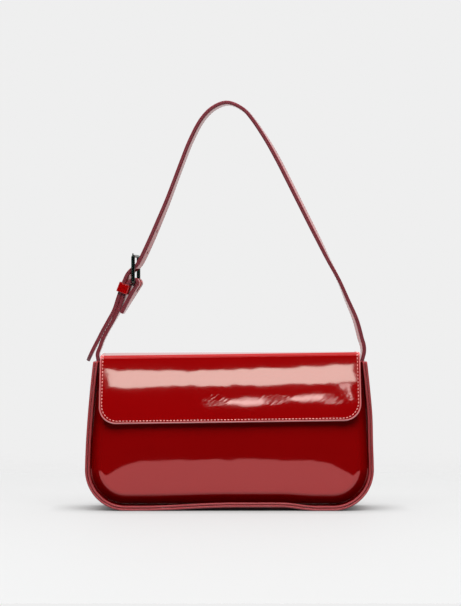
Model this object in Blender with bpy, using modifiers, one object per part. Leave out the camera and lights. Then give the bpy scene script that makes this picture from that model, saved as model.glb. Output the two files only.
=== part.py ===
# A small flap-over shoulder bag of glossy red leather, with one buckled strap.
# Metres, +Z up. The front faces -Y, and the origin is under the middle of the base.

import math

import bmesh
import bpy
import numpy as np
from mathutils import Matrix, Vector

for old_object in list(bpy.data.objects):
    bpy.data.objects.remove(old_object, do_unlink=True)

mm = 0.001

# Plies of leather, board and cloth
ply_gap = 0.3 * mm
gusset_leather = 2.2 * mm
panel_leather = 2.1 * mm
board_thickness = 1.0 * mm
lining_thickness = 0.6 * mm
facing_thickness = 1.0 * mm
cut_overrun = 2.0 * mm

# The body: a U-shaped gusset between two panels
bag_width = 270 * mm
body_height = 138.5 * mm
base_depth = 66 * mm
mouth_depth = 50 * mm
corner_radius = 38 * mm
side_lean = 7.2 * mm
side_lean_power = 1.6
rim_height = 5.5 * mm
rim_bend = 3.0 * mm
front_crown = 5.0 * mm
back_crown = 3.0 * mm
crown_power = 3.0
crown_turn_share = 0.62
facing_height = 26 * mm
board_below_mouth = 4.0 * mm
side_steps, arc_steps, base_steps = 6, 8, 6
gusset_rows = 4
facing_columns, facing_rows = 12, 3

# The base board and the slip pocket
base_board_thickness = 1.5 * mm
base_board_clearance = 0.5 * mm
base_board_corner = 4.0 * mm
base_board_corner_steps = 4
pocket_width = 150 * mm
pocket_height = 82 * mm
pocket_top_below_facing = 2.0 * mm
pocket_columns, pocket_rows = 8, 6

# The flap
flap_above_mouth = 9.0 * mm
flap_drop = 65 * mm
flap_top_width = 243 * mm
flap_bottom_width = 246 * mm
flap_corner_radius = 15 * mm
flap_clearance = 1.0 * mm
flap_leather = 0.8 * mm
flap_board_thickness = 1.0 * mm
flap_lining_thickness = 0.6 * mm
flap_board_inset = 5.0 * mm
flap_back_bend = 7.0 * mm
flap_front_bend = 5.5 * mm
flap_columns = 10
bend_steps = 4
top_steps = 5
drop_steps = 6
corner_steps = 4

# The closing magnets
magnet_radius = 7.0 * mm
magnet_clearance = 0.4 * mm
magnet_above_flap_edge = 15 * mm
magnet_sides = 24

# The strap
strap_width = 18.5 * mm
strap_ply = 1.35 * mm
strap_rise = 244.5 * mm
swing_above_mouth = 21.5 * mm
root_depth = 26 * mm
strap_steps, short_strap_steps, root_steps = 103, 55, 14
tail_tip_length = 9.0 * mm
tail_end_share = 0.32
tail_tip_steps = 5
hole_radius = 1.7 * mm
hole_sides = 12
hole_pitch = 22 * mm
spare_holes = (-2, -1, 1, 2)
prong_hole_length = 9.5 * mm
prong_hole_width = 3.6 * mm
prong_hole_corner = 1.6 * mm
prong_hole_corner_steps = 3
route_spacing = 0.5 * mm
direction_probe = 0.8 * mm

# The buckle and the keeper. The heel bar lies inside the strap's tail, above the keeper.
wire_radius = 1.4 * mm
wire_resolution = 2
buckle_length = 25.4 * mm
buckle_inner_width = 20.5 * mm
buckle_corner = 2.2 * mm
buckle_corner_steps = 3
heel_off_tail = 9.1 * mm
heel_above_keeper = 8.3 * mm
prong_radius = 1.0 * mm
prong_running_gap = 0.25 * mm
prong_rest_gap = 0.3 * mm
prong_overhang = 3.0 * mm
prong_tip_share = 0.55
shank_shares = (0.2, 0.4, 0.6, 0.8, 1.0)
prong_slot_width = 4.6 * mm
prong_slot_radius = 8.2 * mm
prong_slot_sides = 24
fold_length = 22 * mm
fold_lead = 2.4 * mm
fold_ease = 0.7 * mm
keeper_height = 9 * mm
keeper_wall = 1.0 * mm
keeper_clearance = 0.4 * mm
keeper_travel = 3.0 * mm
keeper_route_share = 0.8606
weld_distance = 0.03 * mm

# Route of the long strap, from the right root over the top to the tail's tip. The first share
# is of half the bag's width, the second of the strap's rise above the mouth.
strap_route_shares = [
    (0.920, 0.088), (0.882, 0.163), (0.820, 0.239), (0.758, 0.316), (0.685, 0.392),
    (0.616, 0.469), (0.547, 0.545), (0.477, 0.622), (0.408, 0.698), (0.339, 0.774),
    (0.263, 0.851), (0.163, 0.930), (0.092, 0.972), (-0.010, 0.994), (-0.112, 0.975),
    (-0.197, 0.927), (-0.272, 0.851), (-0.329, 0.774), (-0.381, 0.698), (-0.433, 0.622),
    (-0.491, 0.545), (-0.550, 0.469), (-0.612, 0.396), (-0.642, 0.370), (-0.675, 0.355),
    (-0.698, 0.341), (-0.713, 0.326), (-0.724, 0.312), (-0.733, 0.299), (-0.747, 0.279),
    (-0.774, 0.239), (-0.801, 0.201), (-0.841, 0.163), (-0.881, 0.125), (-0.916, 0.087),
    (-0.945, 0.055), (-0.982, 0.010),
]
# The short strap from its root at the swing axis to where it meets the tail, in the same shares
short_route_shares = [(-0.885, 0.088), (-0.853, 0.125), (-0.813, 0.163)]
# The roots above the mouth, in the same shares
right_root_shares = [(0.926, 0.040), (0.922, 0.070)]
left_root_shares = [(-0.922, 0.030), (-0.903, 0.060)]
# How far below the keeper's middle the short strap comes to lie beside the tail, and where it
# rounds the heel bar
short_strap_joins = 19 * mm
short_strap_joined_steps = 6
fold_start_degrees, fold_end_degrees, fold_steps = 124, -48, 8
# Where the prong's eye starts beside its shank, and how it runs round the heel bar to it
eye_start_degrees, eye_end_degrees, eye_steps = 75, -180, 12

half_width = bag_width / 2
strap_thickness = 2 * strap_ply + ply_gap
panel_edge_inset = gusset_leather + ply_gap + panel_leather
lining_inset = gusset_leather + ply_gap
inner_inset = lining_inset + lining_thickness + ply_gap
facing_foot = body_height - facing_height
swing_height = body_height + swing_above_mouth
flap_height = body_height + flap_above_mouth

parts = bpy.data.collections.new("shoulder_bag")
cutters = bpy.data.collections.new("cutters")
bpy.context.scene.collection.children.link(parts)
bpy.context.scene.collection.children.link(cutters)


# Materials

def make_material(name, color, roughness, metallic=0.0, coat=0.0):
    material = bpy.data.materials.new(name)
    material.use_nodes = True
    shader = material.node_tree.nodes["Principled BSDF"]
    shader.inputs["Base Color"].default_value = (*color, 1)
    shader.inputs["Roughness"].default_value = roughness
    shader.inputs["Metallic"].default_value = metallic
    shader.inputs["Coat Weight"].default_value = coat
    return material


patent_red = (0.27, 0.004, 0.006)
edge_red = (0.30, 0.03, 0.04)
cloth_red = (0.16, 0.02, 0.03)
fibre_tan = (0.35, 0.27, 0.2)
steel_grey = (0.35, 0.35, 0.36)
gunmetal_grey = (0.03, 0.035, 0.03)


# The body's outline and surfaces

def depth_at(z):
    # The bag is deepest at its base and narrows evenly to its mouth
    return base_depth + (mouth_depth - base_depth) * z / body_height


def side_x(z, inset):
    # Half the width at height z, on a line that lies the given inset inside the outer face
    if z < corner_radius:
        radius = corner_radius - inset
        return half_width - corner_radius + math.sqrt(max(radius**2 - (corner_radius - z) ** 2, 0))
    share = (z - corner_radius) / (body_height - corner_radius)
    return half_width - inset - side_lean * share**side_lean_power


def body_outline(inset, top):
    # The U-shaped line from the left end of the mouth, round the base, to the right end
    straight = half_width - corner_radius
    line = [(side_x(z, inset), z) for z in np.linspace(top, corner_radius, side_steps + 1)]
    for angle in np.linspace(0, math.pi / 2, arc_steps + 1)[1:]:
        radius = corner_radius - inset
        line.append((straight + radius * math.cos(angle), corner_radius - radius * math.sin(angle)))
    left = [(-x, z) for x, z in line]
    base = [(x, inset) for x in np.linspace(-straight, straight, base_steps + 1)[1:-1]]
    return np.array(left + base + line[::-1])


def crown_at(x, z, height):
    # The panel swells forward from its rim, most of all a little above its middle
    reach = side_x(z, panel_edge_inset)
    across = 1 - min(abs(x) / max(reach, ply_gap), 1) ** crown_power
    up = max(z - panel_edge_inset, 0) / (body_height - panel_edge_inset)
    return height * across * math.sin(math.pi * crown_turn_share * up)


def panel_y(x, z, side, behind):
    # A panel's outer face moved inward by what lies in front of it. Side is -1 front, 1 back.
    crown = crown_at(x, z, front_crown if side < 0 else back_crown)
    return side * (depth_at(z) / 2 - rim_height + crown - behind)


def patch_point(line, u, v):
    # Fills the U-shaped line: its ends are joined by a straight top, and the two lower corners
    # of the grid lie in the middle of the round corners
    rows = side_steps + arc_steps // 2
    columns = len(line) - 1 - 2 * rows
    left = line[round((1 - v) * rows)]
    right = line[len(line) - 1 - round((1 - v) * rows)]
    low = line[rows + round(u * columns)]
    high = line[0] + (line[-1] - line[0]) * u
    corners = (
        (1 - u) * (1 - v) * line[rows] + u * (1 - v) * line[rows + columns]
        + (1 - u) * v * line[0] + u * v * line[-1]
    )
    return (1 - u) * left + u * right + (1 - v) * low + v * high - corners


# Building helpers

def add_object(name, mesh, material, origin=(0, 0, 0)):
    item = bpy.data.objects.new(name, mesh)
    mesh.transform(Matrix.Translation(-Vector(origin)))
    item.location = origin
    item.data.materials.append(material)
    parts.objects.link(item)
    return item


def grid_mesh(columns, rows, place):
    # A grid of faces whose corners go where place(u, v) puts them, and each corner's shares u, v
    grid = bmesh.new()
    bmesh.ops.create_grid(grid, x_segments=columns, y_segments=rows, size=1)
    shares = {}
    for corner in grid.verts:
        u, v = (corner.co.x + 1) / 2, (corner.co.y + 1) / 2
        shares[corner] = (u, v)
        corner.co = place(u, v)
    return grid, shares


def thicken(item, thickness, side):
    shell = item.modifiers.new("thickness", "SOLIDIFY")
    shell.thickness = thickness
    shell.offset = side
    shell.use_even_offset = True
    shell.use_quality_normals = True
    return item


def add_sheet(name, columns, rows, place, thickness, side, material, origin=(0, 0, 0)):
    grid = grid_mesh(columns, rows, place)[0]
    mesh = bpy.data.meshes.new(name)
    grid.to_mesh(mesh)
    grid.free()
    mesh.shade_smooth()
    return thicken(add_object(name, mesh, material, origin), thickness, side)


def add_cylinder(name, radius, length, centre, along, sides, material=None, origin=None):
    # A cylinder whose axis lies along the given direction
    shape = bmesh.new()
    turn = Vector(along).to_track_quat("Z", "Y").to_matrix().to_4x4()
    bmesh.ops.create_cone(
        shape, cap_ends=True, segments=sides, radius1=radius, radius2=radius, depth=length,
        matrix=Matrix.Translation(Vector(centre)) @ turn,
    )
    mesh = bpy.data.meshes.new(name)
    shape.to_mesh(mesh)
    shape.free()
    if material:
        return add_object(name, mesh, material, origin or (0, 0, 0))
    item = bpy.data.objects.new(name, mesh)
    cutters.objects.link(item)
    item.hide_render = True
    item.display_type = "WIRE"
    return item


def cut(item, cutter):
    hole = item.modifiers.new("cut_" + cutter.name, "BOOLEAN")
    hole.operation = "DIFFERENCE"
    hole.solver = "EXACT"
    hole.object = cutter


def add_wire(name, points, radius, material, origin, closed=False, radii=None):
    # A round wire along the points, as a bevelled curve
    curve = bpy.data.curves.new(name, "CURVE")
    curve.dimensions = "3D"
    curve.bevel_depth = radius
    curve.bevel_resolution = wire_resolution
    curve.use_fill_caps = not closed
    spline = curve.splines.new("POLY")
    spline.points.add(len(points) - 1)
    spline.use_cyclic_u = closed
    for index, (knot, point) in enumerate(zip(spline.points, points)):
        knot.co = (*(Vector(point) - Vector(origin)), 1)
        knot.radius = radii[index] if radii else 1
    item = bpy.data.objects.new(name, curve)
    item.location = origin
    curve.materials.append(material)
    parts.objects.link(item)
    return item


# Routes: smooth lines in the X-Z plane, read by the distance along them

def smooth_route(points):
    # A curve through every point, whose direction at a point follows its two neighbours
    points = np.array(points, dtype=float)
    ends = np.vstack([2 * points[0] - points[1], points, 2 * points[-1] - points[-2]])
    dense = []
    for before, start, end, after in zip(ends, ends[1:], ends[2:], ends[3:]):
        steps = max(int(np.linalg.norm(end - start) / route_spacing), 2)
        t = np.linspace(0, 1, steps, endpoint=False)[:, None]
        bend = 2 * before - 5 * start + 4 * end - after
        twist = 3 * start - before - 3 * end + after
        dense.append(start + ((end - before) * t + bend * t**2 + twist * t**3) / 2)
    dense.append(points[-1:])
    return np.vstack(dense)


def route_lengths(route):
    return np.concatenate([[0], np.cumsum(np.linalg.norm(np.diff(route, axis=0), axis=1))])


def station(route, distance):
    # The point and the direction at a distance along the route
    lengths = route_lengths(route)
    here, back, ahead = (
        np.array([np.interp(distance + step, lengths, route[:, axis]) for axis in (0, 1)])
        for step in (0, -direction_probe, direction_probe)
    )
    return here, (ahead - back) / np.linalg.norm(ahead - back)


def share_point(share):
    return (share[0] * half_width, body_height + share[1] * strap_rise)


def outward(direction, side):
    # The normal of a route, to its right when side is 1 and to its left when it is -1
    return side * np.array([direction[1], -direction[0]])


# The long strap's route, the keeper on it, and the buckle's two bars beside it

long_route = smooth_route([share_point(share) for share in strap_route_shares])
keeper_distance = route_lengths(long_route)[-1] * keeper_route_share
beside_heel, heel_direction = station(long_route, keeper_distance - heel_above_keeper)
heel_x, heel_z = beside_heel - outward(heel_direction, 1) * heel_off_tail
heel = Vector((heel_x, 0, heel_z))
top_bar = heel + Vector((0, 0, buckle_length))


def add_ribbon(name, route, stops, offset, side, material, origin, width_at=None):
    # One ply of a strap: a band across Y that keeps a set distance from the route
    def place(u, v):
        distance = stops[round(u * (len(stops) - 1))]
        point, direction = station(route, distance)
        x, z = point + outward(direction, side) * offset
        width = width_at(distance) if width_at else strap_width
        return (x, (v - 0.5) * width, z)

    return add_sheet(name, len(stops) - 1, 1, place, strap_ply, 0, material, origin)


# The body

def add_gusset(name, inset, top, margin, thickness, material):
    # A strip that follows the U-shaped line and narrows to the mouth
    line = body_outline(inset, top)
    steps = len(line) - 1

    def place(u, v):
        x, z = line[round(u * steps)]
        return (x, (v - 0.5) * (depth_at(z) - 2 * margin), z)

    return add_sheet(name, steps, gusset_rows, place, thickness, 1, material)


def add_rimmed_panel(name, side, material):
    # A crowned panel whose edge is turned outward into a standing rim beside the gusset
    bent_inset = panel_edge_inset + rim_bend
    line = body_outline(bent_inset, body_height)
    rows = side_steps + arc_steps // 2
    columns = len(line) - 1 - 2 * rows

    def place(u, v):
        x, z = patch_point(line, u, v)
        return (x, panel_y(x, z, side, 0), z)

    grid, shares = grid_mesh(columns, rows, place)
    index = {}
    for corner, (u, v) in shares.items():
        if round(u * columns) == 0:
            index[corner] = round((1 - v) * rows)
        elif round(u * columns) == columns:
            index[corner] = len(line) - 1 - round((1 - v) * rows)
        elif round(v * rows) == 0:
            index[corner] = rows + round(u * columns)
    edges = [
        edge for edge in grid.edges
        if edge.is_boundary and all(corner in index for corner in edge.verts)
    ]
    turn = math.pi / 4
    rings = [
        (rim_bend * (1 - math.sin(turn)), rim_bend * (1 - math.cos(turn))),
        (0, rim_bend),
        (0, rim_height),
    ]
    for inward, forward in rings:
        ring = body_outline(panel_edge_inset + inward, body_height)
        made = bmesh.ops.extrude_edge_only(grid, edges=edges)["geom"]
        fresh = [part for part in made if isinstance(part, bmesh.types.BMVert)]
        for corner in fresh:
            source = next(
                other for edge in corner.link_edges
                for other in [edge.other_vert(corner)] if other in index and other not in fresh
            )
            index[corner] = index[source]
            x, z = ring[index[corner]]
            corner.co = (x, side * (depth_at(z) / 2 - rim_height + forward), z)
        edges = [
            part for part in made
            if isinstance(part, bmesh.types.BMEdge) and all(end in fresh for end in part.verts)
        ]
    mesh = bpy.data.meshes.new(name)
    grid.to_mesh(mesh)
    grid.free()
    mesh.shade_smooth()
    return thicken(add_object(name, mesh, material), panel_leather, side)


def add_body_layer(name, side, behind, top, thickness, material):
    # A ply inside a panel, over the panel's whole face
    line = body_outline(inner_inset, top)
    rows = side_steps + arc_steps // 2
    columns = len(line) - 1 - 2 * rows

    def place(u, v):
        x, z = patch_point(line, u, v)
        return (x, panel_y(x, z, side, behind), z)

    return add_sheet(name, columns, rows, place, thickness, side, material)


def add_facing(name, side, behind, material):
    # The leather strip along the inside of the mouth, above the lining
    foot = facing_foot + ply_gap

    def place(u, v):
        z = foot + (body_height - foot) * v
        x = (2 * u - 1) * side_x(z, inner_inset)
        return (x, panel_y(x, z, side, behind), z)

    return add_sheet(name, facing_columns, facing_rows, place, facing_thickness, side, material)


def add_pocket(behind, material):
    top = facing_foot - pocket_top_below_facing

    def place(u, v):
        x = (u - 0.5) * pocket_width
        z = top - pocket_height * (1 - v)
        return (x, panel_y(x, z, 1, behind), z)

    return add_sheet(
        "slip_pocket", pocket_columns, pocket_rows, place, lining_thickness, 1, material
    )


def add_base_board(layers, material):
    # A loose board on the lining of the base, with rounded corners
    foot = inner_inset
    length = 2 * (half_width - corner_radius)
    depth = depth_at(foot) - 2 * (rim_height + layers + base_board_clearance)
    shape = bmesh.new()
    size = Matrix.Diagonal((length, depth, base_board_thickness, 1))
    place = Matrix.Translation((0, 0, foot + base_board_thickness / 2))
    bmesh.ops.create_cube(shape, size=1, matrix=place @ size)
    half_thickness = base_board_thickness / 2
    upright = [
        edge for edge in shape.edges
        if abs(edge.verts[0].co.z - edge.verts[1].co.z) > half_thickness
    ]
    bmesh.ops.bevel(
        shape, geom=upright, offset=base_board_corner, segments=base_board_corner_steps,
        affect="EDGES", profile=0.5,
    )
    mesh = bpy.data.meshes.new("base_board")
    shape.to_mesh(mesh)
    shape.free()
    return add_object("base_board", mesh, material)


# The flap

def flap_half_width(z):
    share = min(max((flap_height - z) / flap_drop, 0), 1)
    half = (flap_top_width + (flap_bottom_width - flap_top_width) * share) / 2
    above_edge = z - (flap_height - flap_drop)
    if above_edge < flap_corner_radius:
        lack = flap_corner_radius - above_edge
        half -= flap_corner_radius - math.sqrt(max(flap_corner_radius**2 - lack**2, 0))
    return half


flap_thickness = flap_leather + flap_board_thickness + flap_lining_thickness + 2 * ply_gap


def flap_rows(inset, edge_inset):
    # The flap's section, from the hinge line over the mouth and down in front, as a list of
    # (kind, value): a place on the back bend, the top, the front bend or the drop
    rows = [("rise", 0.0)]
    rows += [("back", share) for share in np.linspace(0, 1, bend_steps + 1)]
    rows += [("top", share) for share in np.linspace(0, 1, top_steps + 1)[1:-1]]
    rows += [("front", share) for share in np.linspace(0, 1, bend_steps + 1)]
    bottom = flap_height - flap_drop + edge_inset
    bend_foot = flap_height - flap_front_bend
    round_top = bottom + flap_corner_radius
    rows += [("drop", z) for z in np.linspace(bend_foot, round_top, drop_steps + 1)[1:]]
    turns = np.linspace(0, math.pi / 2, corner_steps + 1)[1:]
    rows += [("drop", bottom + flap_corner_radius * (1 - math.sin(turn))) for turn in turns]
    return rows


def flap_point(x, row, inset):
    # A point of the flap's face that lies the given inset under its outer face
    kind, value = row
    hinge_z = body_height + ply_gap
    back = panel_y(x, body_height, 1, 0) - inset
    bend_foot = flap_height - flap_front_bend

    def front_y(z):
        return panel_y(x, min(z, body_height), -1, 0) - flap_clearance - flap_thickness + inset

    if kind == "rise":
        return (x, back, hinge_z)
    if kind == "back":
        angle = value * math.pi / 2
        radius = flap_back_bend - inset
        middle = (back + inset - flap_back_bend, flap_height - flap_back_bend)
        return (x, middle[0] + radius * math.cos(angle), middle[1] + radius * math.sin(angle))
    front_middle = front_y(bend_foot) - inset + flap_front_bend
    if kind == "top":
        back_middle = back + inset - flap_back_bend
        return (x, back_middle + (front_middle - back_middle) * value, flap_height - inset)
    if kind == "front":
        angle = value * math.pi / 2
        radius = flap_front_bend - inset
        return (x, front_middle - radius * math.sin(angle), bend_foot + radius * math.cos(angle))
    return (x, front_y(value), value)


def add_flap_ply(name, inset, edge_inset, thickness, material, origin):
    rows = flap_rows(inset, edge_inset)

    def place(u, v):
        row = rows[round((1 - v) * (len(rows) - 1))]
        z = row[1] - edge_inset if row[0] == "drop" else flap_height
        half = flap_half_width(z) - edge_inset
        return flap_point((2 * u - 1) * half, row, inset)

    return add_sheet(name, flap_columns, len(rows) - 1, place, thickness, -1, material, origin)


# The magnets

def add_magnet(name, holder, surface, thickness, material, origin):
    # A thin disc in a hole of its board, square to the board's face
    z = flap_height - flap_drop + magnet_above_flap_edge
    reach = magnet_radius
    low, high = Vector(surface(0, z - reach)), Vector(surface(0, z + reach))
    normal = Vector((1, 0, 0)).cross(high - low).normalized()
    centre = (low + high) / 2
    hole = add_cylinder(
        name + "_hole", magnet_radius + magnet_clearance, thickness + 2 * cut_overrun,
        centre, normal, magnet_sides,
    )
    cut(holder, hole)
    return add_cylinder(
        name, magnet_radius, thickness, centre, normal, magnet_sides, material, origin
    )


# The strap

def add_long_strap(route, materials, origin):
    total = route_lengths(route)[-1]
    tip_start = total - tail_tip_length
    stops = list(np.linspace(0, tip_start, strap_steps + 1))
    turns = np.linspace(0, math.pi / 2, tail_tip_steps + 1)[1:]
    stops += [tip_start + tail_tip_length * math.sin(turn) for turn in turns]

    def width_at(distance):
        # The tail ends in a half ellipse that stops a little short of a point
        share = min(max((distance - tip_start) / tail_tip_length, 0), 1)
        return strap_width * max(math.sqrt(1 - share**2), tail_end_share)

    half_gap = (ply_gap + strap_ply) / 2
    return [
        add_ribbon("long_strap_outer", route, stops, half_gap, 1, materials[0], origin, width_at),
        add_ribbon("long_strap_inner", route, stops, -half_gap, 1, materials[1], origin, width_at),
    ]


def short_strap_route(tail):
    # Up from the root, beside the tail, round the heel bar and back down along itself
    beside = strap_thickness + ply_gap
    points = [share_point(share) for share in short_route_shares]
    joined = np.linspace(
        keeper_distance + short_strap_joins, keeper_distance - keeper_height / 2,
        short_strap_joined_steps,
    )
    for distance in joined:
        point, direction = station(tail, distance)
        points.append(tuple(point - outward(direction, 1) * beside))
    points.append(tuple(points[-1] - direction * fold_lead - outward(direction, 1) * fold_ease))
    radius = wire_radius + ply_gap + strap_thickness / 2
    for degrees in np.linspace(fold_start_degrees, fold_end_degrees, fold_steps):
        angle = math.radians(degrees)
        points.append((heel.x + radius * math.cos(angle), heel.z + radius * math.sin(angle)))
    # The folded end stays clear of the keeper along its whole travel
    past_keeper, direction = station(tail, keeper_distance + keeper_height / 2 + keeper_travel)
    keeper_room = keeper_wall + keeper_clearance + ply_gap
    points.append(tuple(past_keeper - outward(direction, 1) * (2 * beside + keeper_room)))
    foot, direction = station(tail, keeper_distance + fold_length)
    points.append(tuple(foot - outward(direction, 1) * 2 * beside))
    return smooth_route(points)


def add_short_strap(route, materials, origin):
    stops = list(np.linspace(0, route_lengths(route)[-1], short_strap_steps + 1))
    half_gap = (ply_gap + strap_ply) / 2
    return [
        add_ribbon("short_strap_outer", route, stops, half_gap, -1, materials[0], origin),
        add_ribbon("short_strap_inner", route, stops, -half_gap, -1, materials[1], origin),
    ]


def add_root(name, side, shares, top, material):
    # The strap's end, sewn inside the gusset, up to where the strap starts to swing
    inset = lining_inset + strap_thickness / 2
    points = [
        (side * side_x(z, inset), z)
        for z in np.linspace(body_height - root_depth, body_height, 5)
    ]
    points += [share_point(share) for share in shares]
    points.append(top)
    route = smooth_route(points)
    stops = list(np.linspace(0, route_lengths(route)[-1], root_steps + 1))

    def place(u, v):
        point, direction = station(route, stops[round(u * (len(stops) - 1))])
        return (point[0], (v - 0.5) * strap_width, point[1])

    return add_sheet(name, root_steps, 1, place, strap_thickness, 0, material)


def cut_strap_holes(plies, route, prong_distance):
    # One long hole for the prong, and round ones at an even pitch above and below it
    for ply in plies:
        for step in spare_holes:
            point, direction = station(route, prong_distance + step * hole_pitch)
            normal = outward(direction, 1)
            hole = add_cylinder(
                f"{ply.name}_hole_{step + 2}", hole_radius, strap_thickness + 2 * cut_overrun,
                (point[0], 0, point[1]), (normal[0], 0, normal[1]), hole_sides,
            )
            cut(ply, hole)
    point, direction = station(route, prong_distance)
    normal = outward(direction, 1)
    shape = bmesh.new()
    along = Vector((direction[0], 0, direction[1]))
    frame = Matrix((along, Vector((0, 1, 0)), along.cross(Vector((0, 1, 0))))).transposed().to_4x4()
    size = Matrix.Diagonal((prong_hole_length, prong_hole_width, strap_thickness + 2 * cut_overrun, 1))
    bmesh.ops.create_cube(
        shape, size=1, matrix=Matrix.Translation((point[0], 0, point[1])) @ frame @ size
    )
    upright = [
        edge for edge in shape.edges
        if abs((edge.verts[0].co - edge.verts[1].co).dot(Vector((normal[0], 0, normal[1])))) > strap_ply
    ]
    bmesh.ops.bevel(
        shape, geom=upright, offset=prong_hole_corner, segments=prong_hole_corner_steps,
        affect="EDGES", profile=0.5,
    )
    mesh = bpy.data.meshes.new("prong_hole")
    shape.to_mesh(mesh)
    shape.free()
    hole = bpy.data.objects.new("prong_hole", mesh)
    cutters.objects.link(hole)
    hole.hide_render = True
    hole.display_type = "WIRE"
    for ply in plies:
        cut(ply, hole)


# The buckle and the keeper

def add_buckle(material, origin):
    # A closed rounded frame of round wire, its long side along the strap
    along = (top_bar - heel).normalized()
    across = Vector((0, 1, 0))
    half_y = buckle_inner_width / 2 + wire_radius
    centre = (heel + top_bar) / 2
    half_along = (top_bar - heel).length / 2
    points = []
    for sign_along, sign_y, start in ((1, 1, 0), (1, -1, 90), (-1, -1, 180), (-1, 1, 270)):
        middle = centre + along * sign_along * (half_along - buckle_corner)
        middle += across * sign_y * (half_y - buckle_corner)
        for turn in np.linspace(start, start + 90, buckle_corner_steps + 1):
            angle = math.radians(turn)
            points.append(
                middle + (across * math.cos(angle) + along * math.sin(angle)) * buckle_corner
            )
    return add_wire("buckle_frame", points, wire_radius, material, origin, closed=True)


def prong_line():
    # The eye round the heel bar, then the straight shank, then the tip over the top bar
    eye_radius = wire_radius + prong_running_gap + prong_radius
    eye = [
        heel + Vector((math.cos(angle), 0, math.sin(angle))) * eye_radius
        for angle in np.radians(np.linspace(eye_start_degrees, eye_end_degrees, eye_steps))
    ]
    along = (top_bar - heel).normalized()
    outside = Vector((-along.z, 0, along.x))
    rest = top_bar + outside * (wire_radius + prong_rest_gap + prong_radius)
    tip = rest + along * prong_overhang
    shank = [eye[-1].lerp(rest, share) for share in shank_shares]
    return eye, shank + [rest.lerp(tip, 0.5), tip]


def prong_crossing(route):
    # How far along the strap the prong's shank passes through it
    eye, shank = prong_line()
    heights = (eye[-1].z, shank[-1].z)
    across = np.interp(route[:, 1], heights, (eye[-1].x, shank[-1].x))
    inside = (route[:, 0] < 0) & (route[:, 1] > heights[0]) & (route[:, 1] < heights[1])
    gaps = np.where(inside, np.abs(route[:, 0] - across), half_width)
    return route_lengths(route)[int(np.argmin(gaps))]


def add_prong(material, origin):
    eye, shank = prong_line()
    radii = [1] * (len(eye) + len(shank) - 2) + [1 - (1 - prong_tip_share) / 2, prong_tip_share]
    return add_wire("buckle_prong", eye + shank, prong_radius, material, origin, radii=radii)


def add_keeper(tail, material):
    # A flat loop round the tail and the short strap, free to slide along both
    point, direction = station(tail, keeper_distance)
    normal = outward(direction, 1)
    centre = point - normal * (strap_thickness + ply_gap) / 2
    along = Vector((direction[0], 0, direction[1]))
    through = Vector((normal[0], 0, normal[1]))
    half_through = strap_thickness + ply_gap / 2 + keeper_clearance
    half_across = strap_width / 2 + keeper_clearance
    # Each corner of the loop is cut off by half a wall
    cut_across, cut_through = half_across - keeper_wall / 2, half_through - keeper_wall / 2
    ring = [
        (half_across, -cut_through), (half_across, cut_through), (cut_across, half_through),
        (-cut_across, half_through), (-half_across, cut_through), (-half_across, -cut_through),
        (-cut_across, -half_through), (cut_across, -half_through),
    ]

    def place(u, v):
        y, t = ring[round(u * len(ring)) % len(ring)]
        spot = Vector((centre[0], 0, centre[1])) + through * t + along * (v - 0.5) * keeper_height
        return (spot.x, y, spot.z)

    grid = grid_mesh(len(ring), 1, place)[0]
    bmesh.ops.remove_doubles(grid, verts=grid.verts, dist=weld_distance)
    bmesh.ops.recalc_face_normals(grid, faces=grid.faces)
    mesh = bpy.data.meshes.new("keeper_loop")
    grid.to_mesh(mesh)
    grid.free()
    item = add_object("keeper_loop", mesh, material, (centre[0], 0, centre[1]))
    return thicken(item, keeper_wall, 1)


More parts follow.
